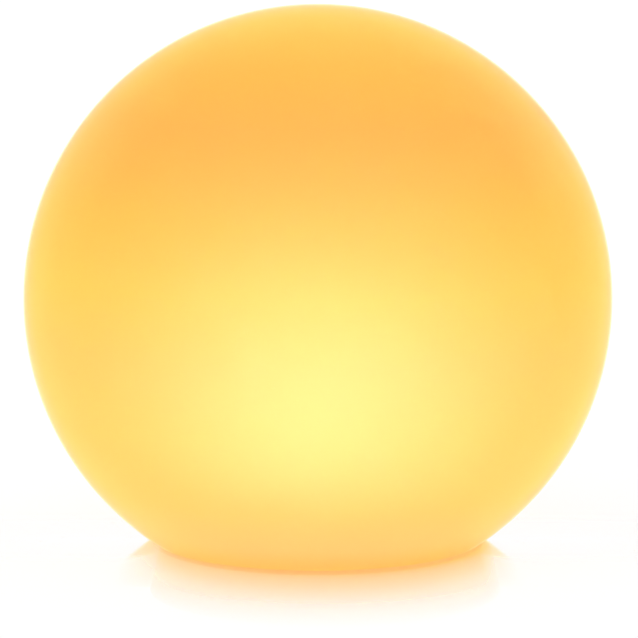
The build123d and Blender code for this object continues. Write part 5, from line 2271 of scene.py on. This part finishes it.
@dataclass
class Studio:
    """White surroundings, soft lamps, floor and camera. Sizes in millimetres.

    Attributes:
        globe: the globe that the camera is aimed at.
        frame_pixels: side of the picture.
        globe_pixels: radius of the globe's outline in it.
        centre_x: place of the outline's middle, from the left.
        centre_y: the same, from the top.
        distance: of the camera from the globe's centre.
        elevation: angle by which the camera looks down, in degrees.
        world_level: strength of the surroundings' light on the part.
        lamps: name, place in metres, side in metres and watts of each soft lamp.
        foot_watts: power of the lamp under the floor.
        foot_drop: its depth.
        foot_spot: radius of what it lights.
    """

    globe: OpalGlobe
    frame_pixels: int = 638
    globe_pixels: float = 294.6
    centre_x: float = 317.9
    centre_y: float = 298.5
    distance: float = 1500.0
    elevation: float = 7.8
    world_level: float = 0.55
    lamps: tuple[tuple[str, Point, float, float], ...] = (
        ("key", (-0.9, -1.1, 1.3), 1.2, 9.0),
        ("fill", (1.2, -0.8, 0.7), 1.2, 4.0),
        ("left_back", (-1.4, 0.7, 1.1), 1.0, 2.4),
        ("right_back", (1.4, 0.7, 1.1), 1.0, 3.0),
    )
    foot_watts: float = 17.0
    foot_drop: float = 800.0
    foot_spot: float = 58.5

    def world(self) -> None:
        """White to the camera, a plain level for light on the part."""
        world = bpy.data.worlds.new("white studio")
        bpy.context.scene.world = world
        world.use_nodes = True
        nodes = Nodes(world.node_tree)
        back = world.node_tree.nodes["Background"]
        path = nodes.add("ShaderNodeLightPath").outputs
        seen = nodes.math("MAXIMUM", path["Is Camera Ray"], path["Is Glossy Ray"])
        seen = nodes.math("MAXIMUM", seen, path["Is Transmission Ray"])
        nodes.feed(back.inputs["Strength"], nodes.span(seen, (0.0, 1.0), (self.world_level, 1.0)))
        back.inputs["Color"].default_value = (1.0, 1.0, 1.0, 1.0)

    def lamp(self, name: str, spot: Point, size: float, watts: float) -> None:
        """Adds one soft square lamp that looks at the globe.

        Args:
            name: of the lamp.
            spot: its place, in metres.
            size: its side, in metres.
            watts: its power.
        """
        data = bpy.data.lights.new(name, "AREA")
        data.size = size
        data.energy = watts
        lamp = link(bpy.data.objects.new(name, data))
        lamp.location = spot
        aim = Vector((0.0, 0.0, 0.1)) - Vector(spot)
        lamp.rotation_euler = aim.to_track_quat("-Z", "Y").to_euler()

    def foot_lamp(self) -> None:
        """A narrow lamp from straight below that lights only the module's underside."""
        data = bpy.data.lights.new("foot_lamp", "SPOT")
        data.energy = self.foot_watts
        data.spot_size = 2.0 * math.atan(self.foot_spot / self.foot_drop)
        data.spot_blend = 0.08
        data.shadow_soft_size = 0.02
        lamp = link(bpy.data.objects.new("foot_lamp", data))
        lamp.location = (0.0, 0.0, -self.foot_drop * MM)
        lamp.rotation_euler = (math.pi, 0.0, 0.0)

    def camera(self) -> None:
        """Sets the camera at the photograph's angle, aimed a little under the globe's centre."""
        data = bpy.data.cameras.new("camera")
        camera = link(bpy.data.objects.new("camera", data))
        radius = self.globe.radius
        spread = radius / math.sqrt(self.distance**2 - radius**2)
        focal_pixels = self.globe_pixels / spread
        data.sensor_width = 36.0
        data.lens = focal_pixels / self.frame_pixels * data.sensor_width
        data.clip_start = 0.05
        data.clip_end = 50.0
        tilt = math.radians(self.elevation)
        back = Vector((0.0, -math.cos(tilt), math.sin(tilt)))
        up = Vector((0.0, math.sin(tilt), math.cos(tilt)))
        centre = Vector((0.0, 0.0, self.globe.centre))
        camera.location = (centre + back * self.distance) * MM
        half = self.frame_pixels / 2
        right_by = (half - self.centre_x) / focal_pixels * self.distance
        down_by = (half - self.centre_y) / focal_pixels * self.distance
        aim = (centre + Vector((1.0, 0.0, 0.0)) * right_by - up * down_by) * MM
        camera.rotation_euler = (aim - camera.location).to_track_quat("-Z", "Y").to_euler()
        bpy.context.scene.camera = camera

    def build(self) -> None:
        """Sets up everything that isn't the lamp itself."""
        self.world()
        for lamp in self.lamps:
            self.lamp(*lamp)
        self.foot_lamp()
        MirrorFloor(self.globe.foot_radius * MM).build()
        self.camera()


def dress_solids() -> None:
    """Gives every CAD piece the finish of its material slot, or its own."""
    slots = {s["node"]: s["material_slot"] for s in frame["record"]["subparts"]}
    for name, node in frame["nodes"].items():
        finish = NODE_FINISH.get(name, SLOT_FINISH[slots[name]])
        node.data.materials.clear()
        node.data.materials.append(finish.material())
        log.info("%s: %s", name, finish.name)


def main() -> None:
    """Builds the studio and each sub-assembly in turn."""
    logging.basicConfig(level=logging.INFO, format="%(name)s: %(message)s")
    bpy.context.scene.view_settings.view_transform = "Standard"
    dress_solids()
    globe = OpalGlobe()
    globe.build()
    for part in (LightDome(), Reflector(), LedTower(), *all_screws()):
        part.build()
    for part in (FootRing(), RingGrips(), CollarMarks(), CoverTrim()):
        part.build()
    for part in (PowerMark(), InletMark(), TubRibs()):
        part.build()
    Studio(globe).build()


if __name__ == "__main__":
    main()
